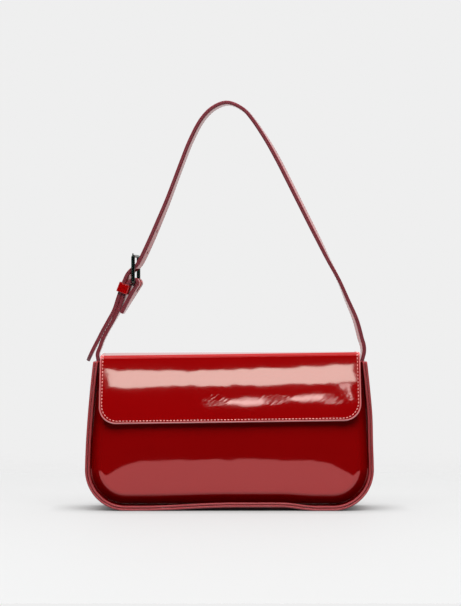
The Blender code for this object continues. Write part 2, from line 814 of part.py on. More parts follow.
def build_bag():
    patent = make_material("patent_leather", patent_red, 0.12, coat=1.0)
    front_behind = panel_leather + ply_gap
    lining_behind = front_behind + board_thickness + ply_gap
    layers = lining_behind + facing_thickness

    add_gusset("gusset_outer", 0, body_height, 0, gusset_leather, patent)
    add_gusset(
        "gusset_lining", lining_inset, facing_foot, rim_height + panel_leather + ply_gap,
        lining_thickness, make_material("gusset_cloth", cloth_red, 0.8),
    )
    board_top = body_height - board_below_mouth
    boards = {}
    for word, side in (("front", -1), ("back", 1)):
        add_rimmed_panel(word + "_panel", side, make_material(word + "_patent", patent_red, 0.12, coat=1.0))
        boards[word] = add_body_layer(
            word + "_board", side, front_behind, board_top, board_thickness,
            make_material(word + "_board_fibre", fibre_tan, 0.9),
        )
        add_body_layer(
            word + "_lining", side, lining_behind, facing_foot, lining_thickness,
            make_material(word + "_cloth", cloth_red, 0.8),
        )
        add_facing(
            word + "_mouth_facing", side, lining_behind,
            make_material(word + "_facing_leather", edge_red, 0.4),
        )
    add_pocket(
        lining_behind + lining_thickness + ply_gap, make_material("pocket_cloth", cloth_red, 0.8)
    )
    add_base_board(layers, make_material("base_board_cover", cloth_red, 0.7))

    hinge = (0, panel_y(0, body_height, 1, 0), body_height + ply_gap / 2)
    add_flap_ply(
        "flap_outer", 0, 0, flap_leather,
        make_material("flap_patent", patent_red, 0.12, coat=1.0), hinge,
    )
    board_inset = flap_leather + ply_gap
    flap_board = add_flap_ply(
        "flap_board", board_inset, flap_board_inset, flap_board_thickness,
        make_material("flap_board_fibre", fibre_tan, 0.9), hinge,
    )
    add_flap_ply(
        "flap_lining", board_inset + flap_board_thickness + ply_gap, 0, flap_lining_thickness,
        make_material("flap_lining_leather", edge_red, 0.4), hinge,
    )

    def flap_board_middle(x, z):
        return flap_point(x, ("drop", z), board_inset + flap_board_thickness / 2)

    def front_board_middle(x, z):
        return (x, panel_y(x, z, -1, front_behind + board_thickness / 2), z)

    add_magnet(
        "flap_magnet", flap_board, flap_board_middle, flap_board_thickness,
        make_material("magnet_steel", steel_grey, 0.4, 1.0), hinge,
    )
    add_magnet(
        "front_magnet", boards["front"], front_board_middle, board_thickness,
        make_material("front_magnet_steel", steel_grey, 0.4, 1.0), (0, 0, 0),
    )

    swing = (0, 0, swing_height)
    plies = add_long_strap(
        long_route,
        (make_material("long_strap_patent", patent_red, 0.15, coat=1.0),
         make_material("long_strap_leather", edge_red, 0.4)),
        swing,
    )
    cut_strap_holes(plies, long_route, prong_crossing(long_route))
    short_route = short_strap_route(long_route)
    folds = add_short_strap(
        short_route,
        (make_material("short_strap_patent", patent_red, 0.15, coat=1.0),
         make_material("short_strap_leather", edge_red, 0.4)),
        swing,
    )
    slot = add_cylinder(
        "prong_slot", prong_slot_radius, prong_slot_width, heel, (0, 1, 0), prong_slot_sides
    )
    for fold in folds:
        cut(fold, slot)
    root_gap = np.array([0, ply_gap])
    right_top = long_route[0] - root_gap
    left_top = short_route[0] - root_gap
    root_leather = make_material("root_leather", patent_red, 0.2, coat=1.0)
    add_root("right_strap_root", 1, right_root_shares, tuple(right_top), root_leather)
    add_root(
        "left_strap_root", -1, left_root_shares, tuple(left_top),
        make_material("left_root_leather", patent_red, 0.2, coat=1.0),
    )
    add_buckle(make_material("gunmetal", gunmetal_grey, 0.25, 1.0), heel)
    add_prong(make_material("prong_gunmetal", gunmetal_grey, 0.25, 1.0), heel)
    add_keeper(long_route, make_material("keeper_patent", patent_red, 0.15, coat=1.0))


build_bag()
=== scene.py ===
# A small flap-over shoulder bag of glossy red leather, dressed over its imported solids.
# Metres, +Z up, and the front with the flap faces -Y.

import math

import bpy
import numpy as np
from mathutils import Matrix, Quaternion, Vector


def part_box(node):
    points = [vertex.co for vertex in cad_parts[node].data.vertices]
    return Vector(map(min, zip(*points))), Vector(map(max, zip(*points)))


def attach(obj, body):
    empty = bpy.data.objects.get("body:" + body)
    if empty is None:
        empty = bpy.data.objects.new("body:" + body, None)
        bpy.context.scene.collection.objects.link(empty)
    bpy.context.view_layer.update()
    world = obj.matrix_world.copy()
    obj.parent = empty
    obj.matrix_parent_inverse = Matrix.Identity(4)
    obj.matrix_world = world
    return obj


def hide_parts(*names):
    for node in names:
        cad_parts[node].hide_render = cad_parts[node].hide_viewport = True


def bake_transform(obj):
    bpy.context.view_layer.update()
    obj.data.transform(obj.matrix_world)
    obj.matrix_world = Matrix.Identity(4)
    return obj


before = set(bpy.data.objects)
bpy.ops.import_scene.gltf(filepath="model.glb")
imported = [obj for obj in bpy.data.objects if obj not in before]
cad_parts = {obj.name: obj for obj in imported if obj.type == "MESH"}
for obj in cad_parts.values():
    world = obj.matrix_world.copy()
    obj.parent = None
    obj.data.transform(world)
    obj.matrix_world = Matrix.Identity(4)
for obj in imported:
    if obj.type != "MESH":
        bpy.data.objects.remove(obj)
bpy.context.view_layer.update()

mm = 0.001
gussetLow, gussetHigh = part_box("gusset_outer")
buckleLow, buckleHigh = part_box("buckle_frame")


# Shader sums

class Wire:
    # A shader value that adds, subtracts, multiplies and divides like a number
    def __init__(self, shader, socket):
        self.shader, self.socket = shader, socket

    def combine(self, operation, first, second):
        node = self.shader.add("ShaderNodeMath", {"operation": operation}, {0: first, 1: second})
        return Wire(self.shader, node.outputs[0])

    def __add__(self, other):
        return self.combine("ADD", self, other)

    def __radd__(self, other):
        return self.combine("ADD", other, self)

    def __sub__(self, other):
        return self.combine("SUBTRACT", self, other)

    def __rsub__(self, other):
        return self.combine("SUBTRACT", other, self)

    def __mul__(self, other):
        return self.combine("MULTIPLY", self, other)

    def __rmul__(self, other):
        return self.combine("MULTIPLY", other, self)

    def __truediv__(self, other):
        return self.combine("DIVIDE", self, other)

    def __rtruediv__(self, other):
        return self.combine("DIVIDE", other, self)

    def through(self, operation):
        # A function of this value alone, such as its sine
        return self.combine(operation, self, 0.0)

    def ramp(self, low, high, start=0.0, end=1.0):
        # Runs smoothly from start to end as the value goes from low to high
        node = self.shader.add(
            "ShaderNodeMapRange", {"interpolation_type": "SMOOTHSTEP"},
            {"Value": self, "From Min": low, "From Max": high, "To Min": start, "To Max": end},
        )
        return Wire(self.shader, node.outputs[0])


class Shader:
    # One material's nodes, with its main shader at hand as base
    def __init__(self, name, world=None):
        self.owner = world or bpy.data.materials.new(name)
        self.owner.use_nodes = True
        self.tree = self.owner.node_tree
        self.base = self.tree.nodes.get("Principled BSDF")

    def add(self, kind, settings=None, values=None):
        node = self.tree.nodes.new(kind)
        for key, value in (settings or {}).items():
            setattr(node, key, value)
        for key, value in (values or {}).items():
            self.feed(node.inputs[key], value)
        return node

    def feed(self, target, value):
        if isinstance(value, Wire):
            self.tree.links.new(value.socket, target)
        else:
            target.default_value = value

    def get(self, kind, output, settings=None, values=None):
        return Wire(self, self.add(kind, settings, values).outputs[output])

    def place(self, kind="Object"):
        return self.get("ShaderNodeTexCoord", kind)

    def axes(self, place):
        # Its parts across, deep and up
        parts = self.add("ShaderNodeSeparateXYZ", None, {0: place})
        return [Wire(self, output) for output in parts.outputs]

    def noise(self, place, scale, detail=3.0):
        values = {"Vector": place, "Scale": scale, "Detail": detail, "Roughness": 0.5}
        return self.get("ShaderNodeTexNoise", "Fac", None, values)

    def mixColor(self, factor, first, second):
        return self.get(
            "ShaderNodeMix", 2, {"data_type": "RGBA"}, {0: factor, 6: (*first, 1), 7: (*second, 1)}
        )

    def bump(self, height, distance, strength=1.0, normal=None):
        values = {"Height": height, "Distance": distance, "Strength": strength}
        if normal:
            values["Normal"] = normal
        return self.get("ShaderNodeBump", "Normal", None, values)

    def finish(self, values):
        for key, value in values.items():
            self.feed(self.base.inputs[key], value)
        return self.owner


# Materials

patentLook = {
    "red": (0.37, 0.0007, 0.0015),
    "deepRed": (0.33, 0.0005, 0.0011),
    "shine": 2.5,
    "shineTint": (1.0, 0.33, 0.33),
    "roughness": 0.025,
    "roughSpread": 0.01,
    "cloudShare": 0.4,
    "waveSize": 26 * mm,
    "waveHeight": 0.07 * mm,
    "grainSize": 1.1 * mm,
    "grainHeight": 0.0006 * mm,
}


def makePatent(name, look, seed=0.0, depth=1.0, creases=None):
    # Lacquered leather, a little wavy. Creases are fine slanting folds between two heights.
    shader = Shader(name)
    place = shader.place()
    moved = shader.get("ShaderNodeVectorMath", 0, {"operation": "ADD"}, {0: place, 1: (seed, seed, seed)})
    cloud = shader.noise(moved, look["cloudShare"] / look["waveSize"])
    wave = shader.noise(moved, 1 / look["waveSize"], 1.5)
    grain = shader.noise(moved, 1 / look["grainSize"], 2.0)
    normal = shader.bump(grain, look["grainHeight"])
    normal = shader.bump(wave, look["waveHeight"], 1.0, normal)
    if creases:
        across, up = shader.axes(place)[::2]
        slanted = shader.get(
            "ShaderNodeCombineXYZ", 0, None,
            {0: (across - up * creases["slant"]) / creases["width"], 1: up / creases["length"]},
        )
        fold = shader.noise(slanted, 1.0, creases["detail"])
        reach = (up - creases["middle"]).through("ABSOLUTE")
        share = reach.ramp(creases["reach"] * 0.5, creases["reach"], 1.0, 0.0)
        share = share * across.ramp(creases["start"], creases["start"] + creases["reach"])
        spot = (across - creases["centre"]) * (2 * math.pi / creases["apart"])
        patch = spot.through("COSINE").ramp(*creases["patchRamp"])
        normal = shader.bump((fold - 0.5) * share * patch, creases["height"], 1.0, normal)
    # The depth scales the red. Below 1 it is painted shade, as on the body and in the groove.
    return shader.finish({
        "Base Color": shader.mixColor(
            cloud, [depth * part for part in look["deepRed"]], [depth * part for part in look["red"]]
        ),
        "Roughness": look["roughness"] + look["roughSpread"] * grain,
        "IOR": look["shine"],
        "Specular Tint": (*look["shineTint"], 1),
        "Normal": normal,
    })


# Edge paint for the rims. Its red is the paint's own. Its lighter, pinker tone is partly painted reflection
# of the bright surroundings.
edgeLook = {
    "dark": (0.28, 0.028, 0.032), "light": (0.35, 0.044, 0.048),
    "grain": 1.6 * mm, "depth": 0.05 * mm, "relief": 0.4,
    "roughness": 0.1, "roughSpread": 0.15,
    "other": {"IOR": 2.4, "Specular Tint": (1.0, 0.42, 0.45, 1)},
}
# The flap's edge paint is far paler than the rims': painted highlight, for the shine its rounded lower edge
# catches from the pale floor
paleFlapEdgeHighlightLook = {
    **edgeLook, "dark": (0.74, 0.16, 0.16), "light": (0.88, 0.22, 0.22),
    "other": {"IOR": 3.0, "Specular Tint": (1.0, 0.68, 0.7, 1)},
}
# Edge paint for the straps and keeper. Its dark red is the paint's own. The grey in its tone is partly
# painted reflection of the bright surroundings.
strapEdgeLook = {
    **edgeLook, "dark": (0.13, 0.013, 0.019), "light": (0.19, 0.028, 0.036), "roughness": 0.22,
    "other": {"IOR": 1.9, "Specular Tint": (1.0, 0.5, 0.6, 1)},
}
gunmetalLook = {
    "dark": (0.045, 0.055, 0.048), "light": (0.075, 0.08, 0.07), "toneRamp": (0.5, 0.75),
    "grain": 4 * mm, "detail": 4.0, "depth": 0.004 * mm, "relief": 0.4,
    "roughness": 0.16, "roughSpread": 0.1, "other": {"Metallic": 1.0},
}
steelLook = {
    "dark": (0.3, 0.3, 0.31), "light": (0.45, 0.45, 0.46), "grain": 1 / 700, "detail": 2.0,
    "roughness": 0.35, "roughSpread": 0.1, "other": {"Metallic": 1.0},
}
fibreLook = {
    "dark": (0.22, 0.16, 0.11), "light": (0.35, 0.27, 0.2), "grain": 2 * mm, "detail": 5.0,
    "depth": 0.1 * mm, "relief": 0.5, "roughness": 0.85,
}
threadLook = {
    "dark": (0.7, 0.25, 0.24), "light": (0.9, 0.45, 0.42), "grain": 0.35 * mm, "detail": 2.0,
    "depth": 0.05 * mm, "relief": 0.6, "roughness": 0.4,
}
strapThreadLook = {**threadLook, "dark": (0.16, 0.004, 0.008), "light": (0.25, 0.01, 0.015)}


def makeGrained(name, look):
    # One noise blends two colours, roughens the surface and raises it. For painted cut edges,
    # polished dark plating, the hidden magnets' steel, bonded fibre and waxed thread.
    shader = Shader(name)
    grain = shader.noise(shader.place(), 1 / look["grain"], look.get("detail", 3.0))
    tone = grain.ramp(*look["toneRamp"]) if "toneRamp" in look else grain
    values = {"Base Color": shader.mixColor(tone, look["dark"], look["light"]), **look.get("other", {})}
    spread = look["roughSpread"] * grain if "roughSpread" in look else 0
    values["Roughness"] = look["roughness"] + spread
    if "depth" in look:
        values["Normal"] = shader.bump(grain, look["depth"], look["relief"])
    return shader.finish(values)


facingLook = {
    "red": (0.21, 0.006, 0.009),
    "deepRed": (0.15, 0.003, 0.006),
    "roughness": 0.38,
    "roughSpread": 0.12,
    "cloudScale": 30.0,
    "poreSize": 0.9 * mm,
    "poreDepth": 0.05 * mm,
    "relief": 0.5,
}


def makeFacing(name, look):
    # Smooth dyed leather with fine pores and a satin finish
    shader = Shader(name)
    place = shader.place()
    pores = shader.get(
        "ShaderNodeTexVoronoi", "Distance", None, {"Vector": place, "Scale": 1 / look["poreSize"]}
    )
    cloud = shader.noise(place, look["cloudScale"])
    return shader.finish({
        "Base Color": shader.mixColor(cloud, look["deepRed"], look["red"]),
        "Roughness": look["roughness"] + look["roughSpread"] * cloud,
        "Normal": shader.bump(pores, look["poreDepth"], look["relief"]),
    })


clothLook = {
    "red": (0.13, 0.010, 0.016),
    "deepRed": (0.06, 0.004, 0.008),
    "roughness": 0.78,
    "roughSpread": 0.1,
    "sheen": 0.12,
    "sheenTint": (1, 0.4, 0.4),
    "threadSize": 0.55 * mm,
    "threadHeight": 0.08 * mm,
    "relief": 0.6,
    "fibreScale": 900.0,
}


def makeCloth(name, look):
    # Twill: slanting ribs across the sheet's own length and width, crossed by fine threads
    shader = Shader(name)
    sheet = shader.get("ShaderNodeUVMap", "UV")
    along, across = shader.axes(sheet)[:2]
    turn = 2 * math.pi / look["threadSize"]
    ribs = ((along + across) * turn).through("SINE")
    threads = ((along - across) * turn * 2.0).through("SINE")
    height = ribs * 0.5 + threads * 0.2 + 0.5
    fibre = shader.noise(shader.place(), look["fibreScale"])
    return shader.finish({
        "Base Color": shader.mixColor(height * 0.7 + fibre * 0.3, look["deepRed"], look["red"]),
        "Roughness": look["roughness"] + look["roughSpread"] * fibre,
        "Sheen Weight": look["sheen"],
        "Sheen Tint": (*look["sheenTint"], 1),
        "Normal": shader.bump(height, look["threadHeight"], look["relief"]),
    })


flapCreases = {
    "middle": 104 * mm,
    "reach": 6.5 * mm,
    "width": 2.4 * mm,
    "length": 7 * mm,
    "slant": 1.2,
    "start": -36 * mm,
    "centre": 41.6 * mm,
    "apart": 57 * mm,
    "patchRamp": (-0.2, 0.9, 0.12, 1.0),
    "detail": 0.6,
    "height": 0.03 * mm,
}

print("materials")
# The body's patent is a copy at 0.8 of the flap's colour: painted shade, for the panels and gusset taking
# less light than the flap
patent = makePatent("patentRed", patentLook, 0.0, 0.8)
# A copy of the patent at 0.3 of its colour: painted shade for the deep groove at the seams
grooveShadePatent = makePatent("patentRedPaintedGrooveShade", patentLook, 0.0, 0.3)
flapPatent = makePatent("patentRedFlap", patentLook, 3.7, 1.0, flapCreases)
strapPatent = makePatent("patentRedStrap", patentLook, 7.3)
facing = makeFacing("facingRed", facingLook)
cloth = makeCloth("twillRed", clothLook)
gunmetal = makeGrained("gunmetalPlate", gunmetalLook)
fibre = makeGrained("fibreBoard", fibreLook)
steel = makeGrained("magnetSteel", steelLook)
thread = makeGrained("waxedThread", threadLook)
edge = makeGrained("edgePaint", edgeLook)
paleFlapEdgeHighlight = makeGrained("flapEdgePaintedHighlight", paleFlapEdgeHighlightLook)
strapEdge = makeGrained("edgePaintStrap", strapEdgeLook)
strapThread = makeGrained("waxedThreadStrap", strapThreadLook)


# Surfaces on a grid

def gridFaces(rows, columns, closed=False, around=False):
    # The quads of a grid whose corners are numbered row by row. Closed joins its last row to
    # its first, and around joins its last column to its first.
    row = np.arange(rows if closed else rows - 1)[:, None]
    column = np.arange(columns if around else columns - 1)[None]
    after, beside = (row + 1) % rows, (column + 1) % columns
    corners = [row * columns + column, row * columns + beside,
               after * columns + beside, after * columns + column]
    return np.stack(corners, -1).reshape(-1, 4)


def cornerNormals(points, faces):
    # At each corner, the sum of the cross products of the diagonals of the faces round it
    a, b, c, d = (points[faces[:, index]] for index in range(4))
    cross = np.cross(c - a, d - b)
    total = np.zeros_like(points)
    for index in range(4):
        np.add.at(total, faces[:, index], cross)
    return total / np.maximum(np.linalg.norm(total, axis=1), 1e-12)[:, None]


def thicken(points, faces, uv, thickness, bulge, steps=8, behind=True):
    # Two layers a thickness apart. Round the free edge runs half an ellipse: the normal times
    # half the thickness times the cosine of the turn, plus the outward direction times the
    # bulge times its sine.
    normals = cornerNormals(points, faces)
    middle = points - normals * thickness / 2 if behind else points
    count = len(points)
    starts, ends = faces.ravel(), np.roll(faces, -1, axis=1).ravel()
    free = ~np.isin(starts * count + ends, ends * count + starts)
    starts, ends = starts[free], ends[free]
    along = points[ends] - points[starts]
    along = along / np.maximum(np.linalg.norm(along, axis=1), 1e-12)[:, None]
    sideways = np.cross(along, normals[starts] + normals[ends])
    outward = np.zeros_like(points)
    np.add.at(outward, starts, sideways)
    np.add.at(outward, ends, sideways)
    rim = np.unique(starts)
    outward = outward[rim] / np.maximum(np.linalg.norm(outward[rim], axis=1), 1e-12)[:, None]
    order = np.zeros(count, int)
    order[rim] = np.arange(len(rim))
    layers = [middle + normals * thickness / 2, middle - normals * thickness / 2]
    levels = [(starts, ends)]
    for step, turn in enumerate(np.linspace(0, math.pi, steps + 1)[1:-1]):
        up, out = math.cos(turn) * thickness / 2, math.sin(turn) * bulge
        layers.append(middle[rim] + normals[rim] * up + outward * out)
        base = 2 * count + step * len(rim)
        levels.append((base + order[starts], base + order[ends]))
    levels.append((starts + count, ends + count))
    strips = [
        np.stack([high[1], high[0], low[0], low[1]], -1) for high, low in zip(levels, levels[1:])
    ]
    allFaces = np.vstack([faces, faces[:, ::-1] + count, *strips])
    allUv = np.vstack([uv, uv] + [uv[rim]] * (steps - 1))
    return np.vstack(layers), allFaces, allUv, 2 * len(faces)


def addObject(name, data):
    item = bpy.data.objects.new(name, data)
    bpy.context.scene.collection.objects.link(item)
    return item


def makePiece(name, sheet, material, nodes=(), rim=None):
    # A finished mesh in the frame's own metres, with the sheet's length and width as its UV map.
    # The sheet's last faces are its edge, which the rim's material covers.
    points, faces, uv, edgeStart = sheet
    mesh = bpy.data.meshes.new(name)
    mesh.from_pydata(points.tolist(), [], [list(face) for face in faces])
    corners = np.empty(len(mesh.loops), int)
    mesh.loops.foreach_get("vertex_index", corners)
    layer = mesh.uv_layers.new(name="sheet")
    layer.data.foreach_set("uv", uv[corners].astype(np.float32).ravel())
    mesh.materials.append(material)
    if rim:
        mesh.materials.append(rim)
        kinds = (np.arange(len(faces)) >= edgeStart).astype(np.int32)
        mesh.polygons.foreach_set("material_index", kinds)
    mesh.shade_smooth()
    mesh.update()
    piece = addObject(name, mesh)
    if nodes:
        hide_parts(*nodes)
    return piece


def sheetUv(points, rows, columns):
    # Distances along the grid's rows and columns
    grid = points.reshape(rows, columns, 3)
    down = np.linalg.norm(np.diff(grid, axis=0, prepend=grid[:1]), axis=2).cumsum(axis=0)
    across = np.linalg.norm(np.diff(grid, axis=1, prepend=grid[:, :1]), axis=2).cumsum(axis=1)
    return np.stack([down, across], -1).reshape(-1, 2)


# The body's outline and surfaces

bag = {
    "halfWidth": gussetHigh.x,
    "mouth": gussetHigh.z,
    "baseDepth": 2 * gussetHigh.y,
    "mouthDepth": 50 * mm,
    "corner": 38 * mm,
    "sideLean": 7.2 * mm,
    "leanPower": 1.6,
    "rimHeight": 5.5 * mm,
    "rimBend": 1.2 * mm,
    "frontCrown": 5.0 * mm,
    "backCrown": 3.0 * mm,
    "crownPower": 7.0,
    "crownTurnShare": 0.62,
    "dipSlope": 1.2,
    "sideDipSlope": 0.6,
    "dipReach": 9.0 * mm,
    "dipRound": 0.8 * mm,
    "boardInset": 13 * mm,
    "lift": 3.2 * mm,
    "liftShares": (-0.62, 0.04, 0.36, 0.60),
    "liftHeights": (10 * mm, 45 * mm),
    "liftDepths": (20 * mm, 33 * mm),
    "pull": 1.3 * mm,
    "pullHeights": (55 * mm, 95 * mm),
    "pullShares": (0.45, 0.88),
    "gussetLeather": 2.2 * mm,
    "panelLeather": 2.1 * mm,
    "gap": 0.3 * mm,
    "edgeBulge": 0.9 * mm,
    "facingHeight": 26 * mm,
    "sideSteps": 56, "arcSteps": 36, "baseSteps": 64,
}
lining = {
    "baseThickness": 1.5 * mm,
    "baseCorner": 4.0 * mm,
    "boardThickness": 1.0 * mm,
    "boardBelowMouth": 4.0 * mm,
    "cutBulge": 0.1 * mm,
    "clothThickness": 0.6 * mm,
    "facingThickness": 1.0 * mm,
    "facingMargin": 0.4 * mm,
    "pocketWidth": 150 * mm,
    "pocketHeight": 82 * mm,
    "pocketBelowFacing": 2.0 * mm,
}
panelInset = bag["gussetLeather"] + bag["gap"] + bag["panelLeather"]
liningInset = bag["gussetLeather"] + bag["gap"]
innerInset = liningInset + lining["clothThickness"] + bag["gap"]
facingFoot = bag["mouth"] - bag["facingHeight"]


def depthAt(z):
    return bag["baseDepth"] + (bag["mouthDepth"] - bag["baseDepth"]) * z / bag["mouth"]


def sideX(z, inset):
    # Below the corner's height a circle, above it the half width less a lean that grows as a power
    corner = bag["corner"]
    lack = np.clip(corner - z, 0, None)
    curved = bag["halfWidth"] - corner + np.sqrt(np.clip((corner - inset) ** 2 - lack**2, 0, None))
    share = np.clip((z - corner) / (bag["mouth"] - corner), 0, None)
    lean = bag["halfWidth"] - inset - bag["sideLean"] * share ** bag["leanPower"]
    return np.where(z < corner, curved, lean)


def uLine(inset, top):
    # The left side from the mouth down, the round corner, the base, and the same mirrored
    corner = bag["corner"]
    straight = bag["halfWidth"] - corner
    side = np.linspace(top, corner, bag["sideSteps"] + 1)
    turn = np.linspace(0, math.pi / 2, bag["arcSteps"] + 1)[1:]
    x = np.concatenate([sideX(side, inset), straight + (corner - inset) * np.cos(turn)])
    z = np.concatenate([side, corner - (corner - inset) * np.sin(turn)])
    base = np.linspace(-straight, straight, bag["baseSteps"] + 1)[1:-1]
    return np.vstack([
        np.stack([-x, z], -1), np.stack([base, np.full_like(base, inset)], -1),
        np.stack([x, z], -1)[::-1],
    ])


def crownAt(x, z, height, power):
    # Height times one less the share across to a power, times the sine of the share up
    reach = sideX(z, panelInset)
    across = 1 - np.clip(np.abs(x) / reach, 0, 1) ** power
    up = np.clip(z - panelInset, 0, None) / (bag["mouth"] - panelInset)
    return height * across * np.sin(math.pi * bag["crownTurnShare"] * up)


def seamDip(x, z):
    # Near its seam the face slopes back, more so at the base: slope times the nearness, rounded
    # off as the logarithm of one plus the exponential
    corner = bag["corner"]
    sideways = np.clip(np.abs(x) - bag["halfWidth"] + corner, 0, None)
    lack = np.clip(corner - z, 0, None)
    far = np.hypot(sideways, lack)
    away = np.where(z < corner, corner - panelInset - far, sideX(z, panelInset) - np.abs(x))
    share = lack / np.maximum(far, 1e-9)
    slope = bag["sideDipSlope"] + (bag["dipSlope"] - bag["sideDipSlope"]) * share
    near = (bag["dipReach"] - np.clip(away, 0, None)) / bag["dipRound"]
    return slope * bag["dipRound"] * np.logaddexp(0, near)


def panelY(x, z, side, behind):
    crown = crownAt(x, z, bag["frontCrown"] if side < 0 else bag["backCrown"], bag["crownPower"])
    return side * (depthAt(z) / 2 - bag["rimHeight"] + crown - seamDip(x, z) - behind)


def smoothShare(value, low, high):
    share = np.clip((value - low) / (high - low), 0, 1)
    return share**2 * (3 - 2 * share)


def usedShape(points):
    # As it stands in use. The front edge of the base is a little off the floor over its middle
    # stretch, and the strap draws the upper right side outward.
    x, y, z = points.T
    half = bag["halfWidth"]
    start, full, last, end = (half * share for share in bag["liftShares"])
    along = smoothShare(x, start, full) * (1 - smoothShare(x, last, end))
    near = (1 - smoothShare(z, *bag["liftHeights"])) * smoothShare(-y, *bag["liftDepths"])
    sideShare = smoothShare(x / half, *bag["pullShares"]) * smoothShare(z, *bag["pullHeights"])
    return points + np.stack([bag["pull"] * sideShare, 0 * x, bag["lift"] * along * near], -1)


def usedSheet(sheet):
    return (usedShape(sheet[0]), *sheet[1:])


def patchGrid(line):
    # Fills the U-shaped line: the sum of the blends between opposite edges, less the blend of
    # the four corners, of which the two lower ones lie in the middle of the round corners
    rows = bag["sideSteps"] + bag["arcSteps"] // 2
    columns = len(line) - 1 - 2 * rows
    v, u = np.linspace(0, 1, rows + 1)[:, None, None], np.linspace(0, 1, columns + 1)[None, :, None]
    left, right = line[rows::-1][:, None], line[len(line) - 1 - rows:][:, None]
    low = line[rows:rows + columns + 1][None]
    high = line[0] + (line[-1] - line[0]) * u
    corners = (
        (1 - u) * (1 - v) * line[rows] + u * (1 - v) * line[rows + columns]
        + (1 - u) * v * line[0] + u * v * line[-1]
    )
    return (1 - u) * left + u * right + (1 - v) * low + v * high - corners


def turnedOut(points, faces, direction):
    # The faces in the order that makes their normals follow the direction on the whole
    normals = cornerNormals(points, faces)
    return faces if (normals @ np.array(direction)).sum() > 0 else faces[:, ::-1]


def bodyPly(name, node, points, faces, uv, ply, rim=None, behind=True):
    # Thickened, shaped as in use and fixed to the body. A ply is its thickness, its edge's bulge, its
    # material and its slot. The slot is not used.
    thickness, bulge, material, slot = ply
    sheet = usedSheet(thicken(points, faces, uv, thickness, bulge, behind=behind))
    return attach(makePiece(name, sheet, material, [node], rim), "body")


def makeLayer(name, node, side, inset, behind, top, ply):
    # A sheet over the panel's face, some way behind its outer surface
    grid = patchGrid(uLine(inset, top))
    uv = grid.reshape(-1, 2)
    x, z = uv.T
    points = np.stack([x, panelY(x, z, side, behind), z], -1)
    faces = turnedOut(points, gridFaces(*grid.shape[:2]), (0, side, 0))
    return bodyPly(name, node, points, faces, uv, ply)


def makePanel(name, side, nodes):
    # A crowned face whose edge bends through a quarter circle into a standing rim. A darker copy of the
    # patent covers the turned leather inside the groove: painted shade for the deep groove.
    bend, height = bag["rimBend"], bag["rimHeight"]
    grid = patchGrid(uLine(panelInset + bend, bag["mouth"]))
    rows, columns = grid.shape[:2]
    x, z = grid.reshape(-1, 2).T
    points = [np.stack([x, panelY(x, z, side, 0), z], -1)]
    flat = [np.stack([x, z], -1)]
    index = np.arange(rows * columns).reshape(rows, columns)
    ring = np.concatenate([index[::-1, 0], index[0, 1:-1], index[:, -1]])
    faces = [gridFaces(rows, columns)]
    turns = np.linspace(0, math.pi / 2, 9)[1:]
    border = uLine(panelInset + bend, bag["mouth"])
    sunk = -seamDip(border[:, 0], border[:, 1])
    stops = [(bend * (1 - math.sin(turn)), sunk + bend * (1 - math.cos(turn))) for turn in turns]
    wall = height - bag["edgeBulge"]
    stops += [(0, sunk + bend + (wall - sunk - bend) * share) for share in np.linspace(0, 1, 7)[1:]]
    for inward, forward in stops:
        line = uLine(panelInset + inward, bag["mouth"])
        y = side * (depthAt(line[:, 1]) / 2 - height + forward)
        fresh = sum(map(len, points)) + np.arange(len(line))
        points.append(np.stack([line[:, 0], y, line[:, 1]], -1))
        flat.append(line)
        faces.append(np.stack([ring[:-1], fresh[:-1], fresh[1:], ring[1:]], -1))
        ring = fresh
    points, uv = np.vstack(points), np.vstack(flat)
    allFaces = turnedOut(points, np.vstack(faces), (0, side, 0))
    sheet = thicken(points, allFaces, uv, bag["panelLeather"], bag["edgeBulge"])
    piece = makePiece(name, usedSheet(sheet), patent, nodes, edge)
    piece.data.materials.append(grooveShadePatent)
    kinds = np.empty(len(piece.data.polygons), np.int32)
    piece.data.polygons.foreach_get("material_index", kinds)
    kinds[len(faces[0]):len(allFaces)] = 2
    piece.data.polygons.foreach_set("material_index", kinds)
    return piece


def makeStrip(name, node, inset, top, margin, ply, rim=None, columns=25):
    # A strip that follows the U-shaped line, as deep as the body less a margin at each edge
    line = uLine(inset, top)
    half = depthAt(line[:, 1]) / 2 - margin
    y = half[:, None] * np.linspace(-1, 1, columns)
    x, z = np.repeat(line, columns, axis=0).T
    points = np.stack([x, y.ravel(), z], -1)
    faces = turnedOut(points, gridFaces(len(line), columns), (0, 0, -1))
    return bodyPly(name, node, points, faces, sheetUv(points, len(line), columns), ply, rim)


print("body")
leatherPly = (bag["gussetLeather"], bag["edgeBulge"], patent, "patent_leather")
boardPly = (lining["boardThickness"], lining["cutBulge"], fibre, "fibre_board")
clothPly = (lining["clothThickness"], lining["cutBulge"], cloth, "lining_cloth")
layerBehind = bag["panelLeather"] + bag["gap"]
clothBehind = layerBehind + lining["boardThickness"] + bag["gap"]
boardTop = bag["mouth"] - lining["boardBelowMouth"]
seamMargin = bag["rimHeight"] + layerBehind + seamDip(*uLine(liningInset, facingFoot).T)
makeStrip("gusset", "gusset_outer", 0, bag["mouth"], bag["edgeBulge"], leatherPly, edge)
makeStrip("gussetLining", "gusset_lining", liningInset, facingFoot, seamMargin, clothPly)
for word, side in (("front", -1), ("back", 1)):
    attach(makePanel(word + "Panel", side, [word + "_panel"]), "body")
    makeLayer(word + "Board", word + "_board", side, bag["boardInset"], layerBehind, boardTop, boardPly)
    makeLayer(word + "Lining", word + "_lining", side, innerInset, clothBehind, facingFoot, clothPly)


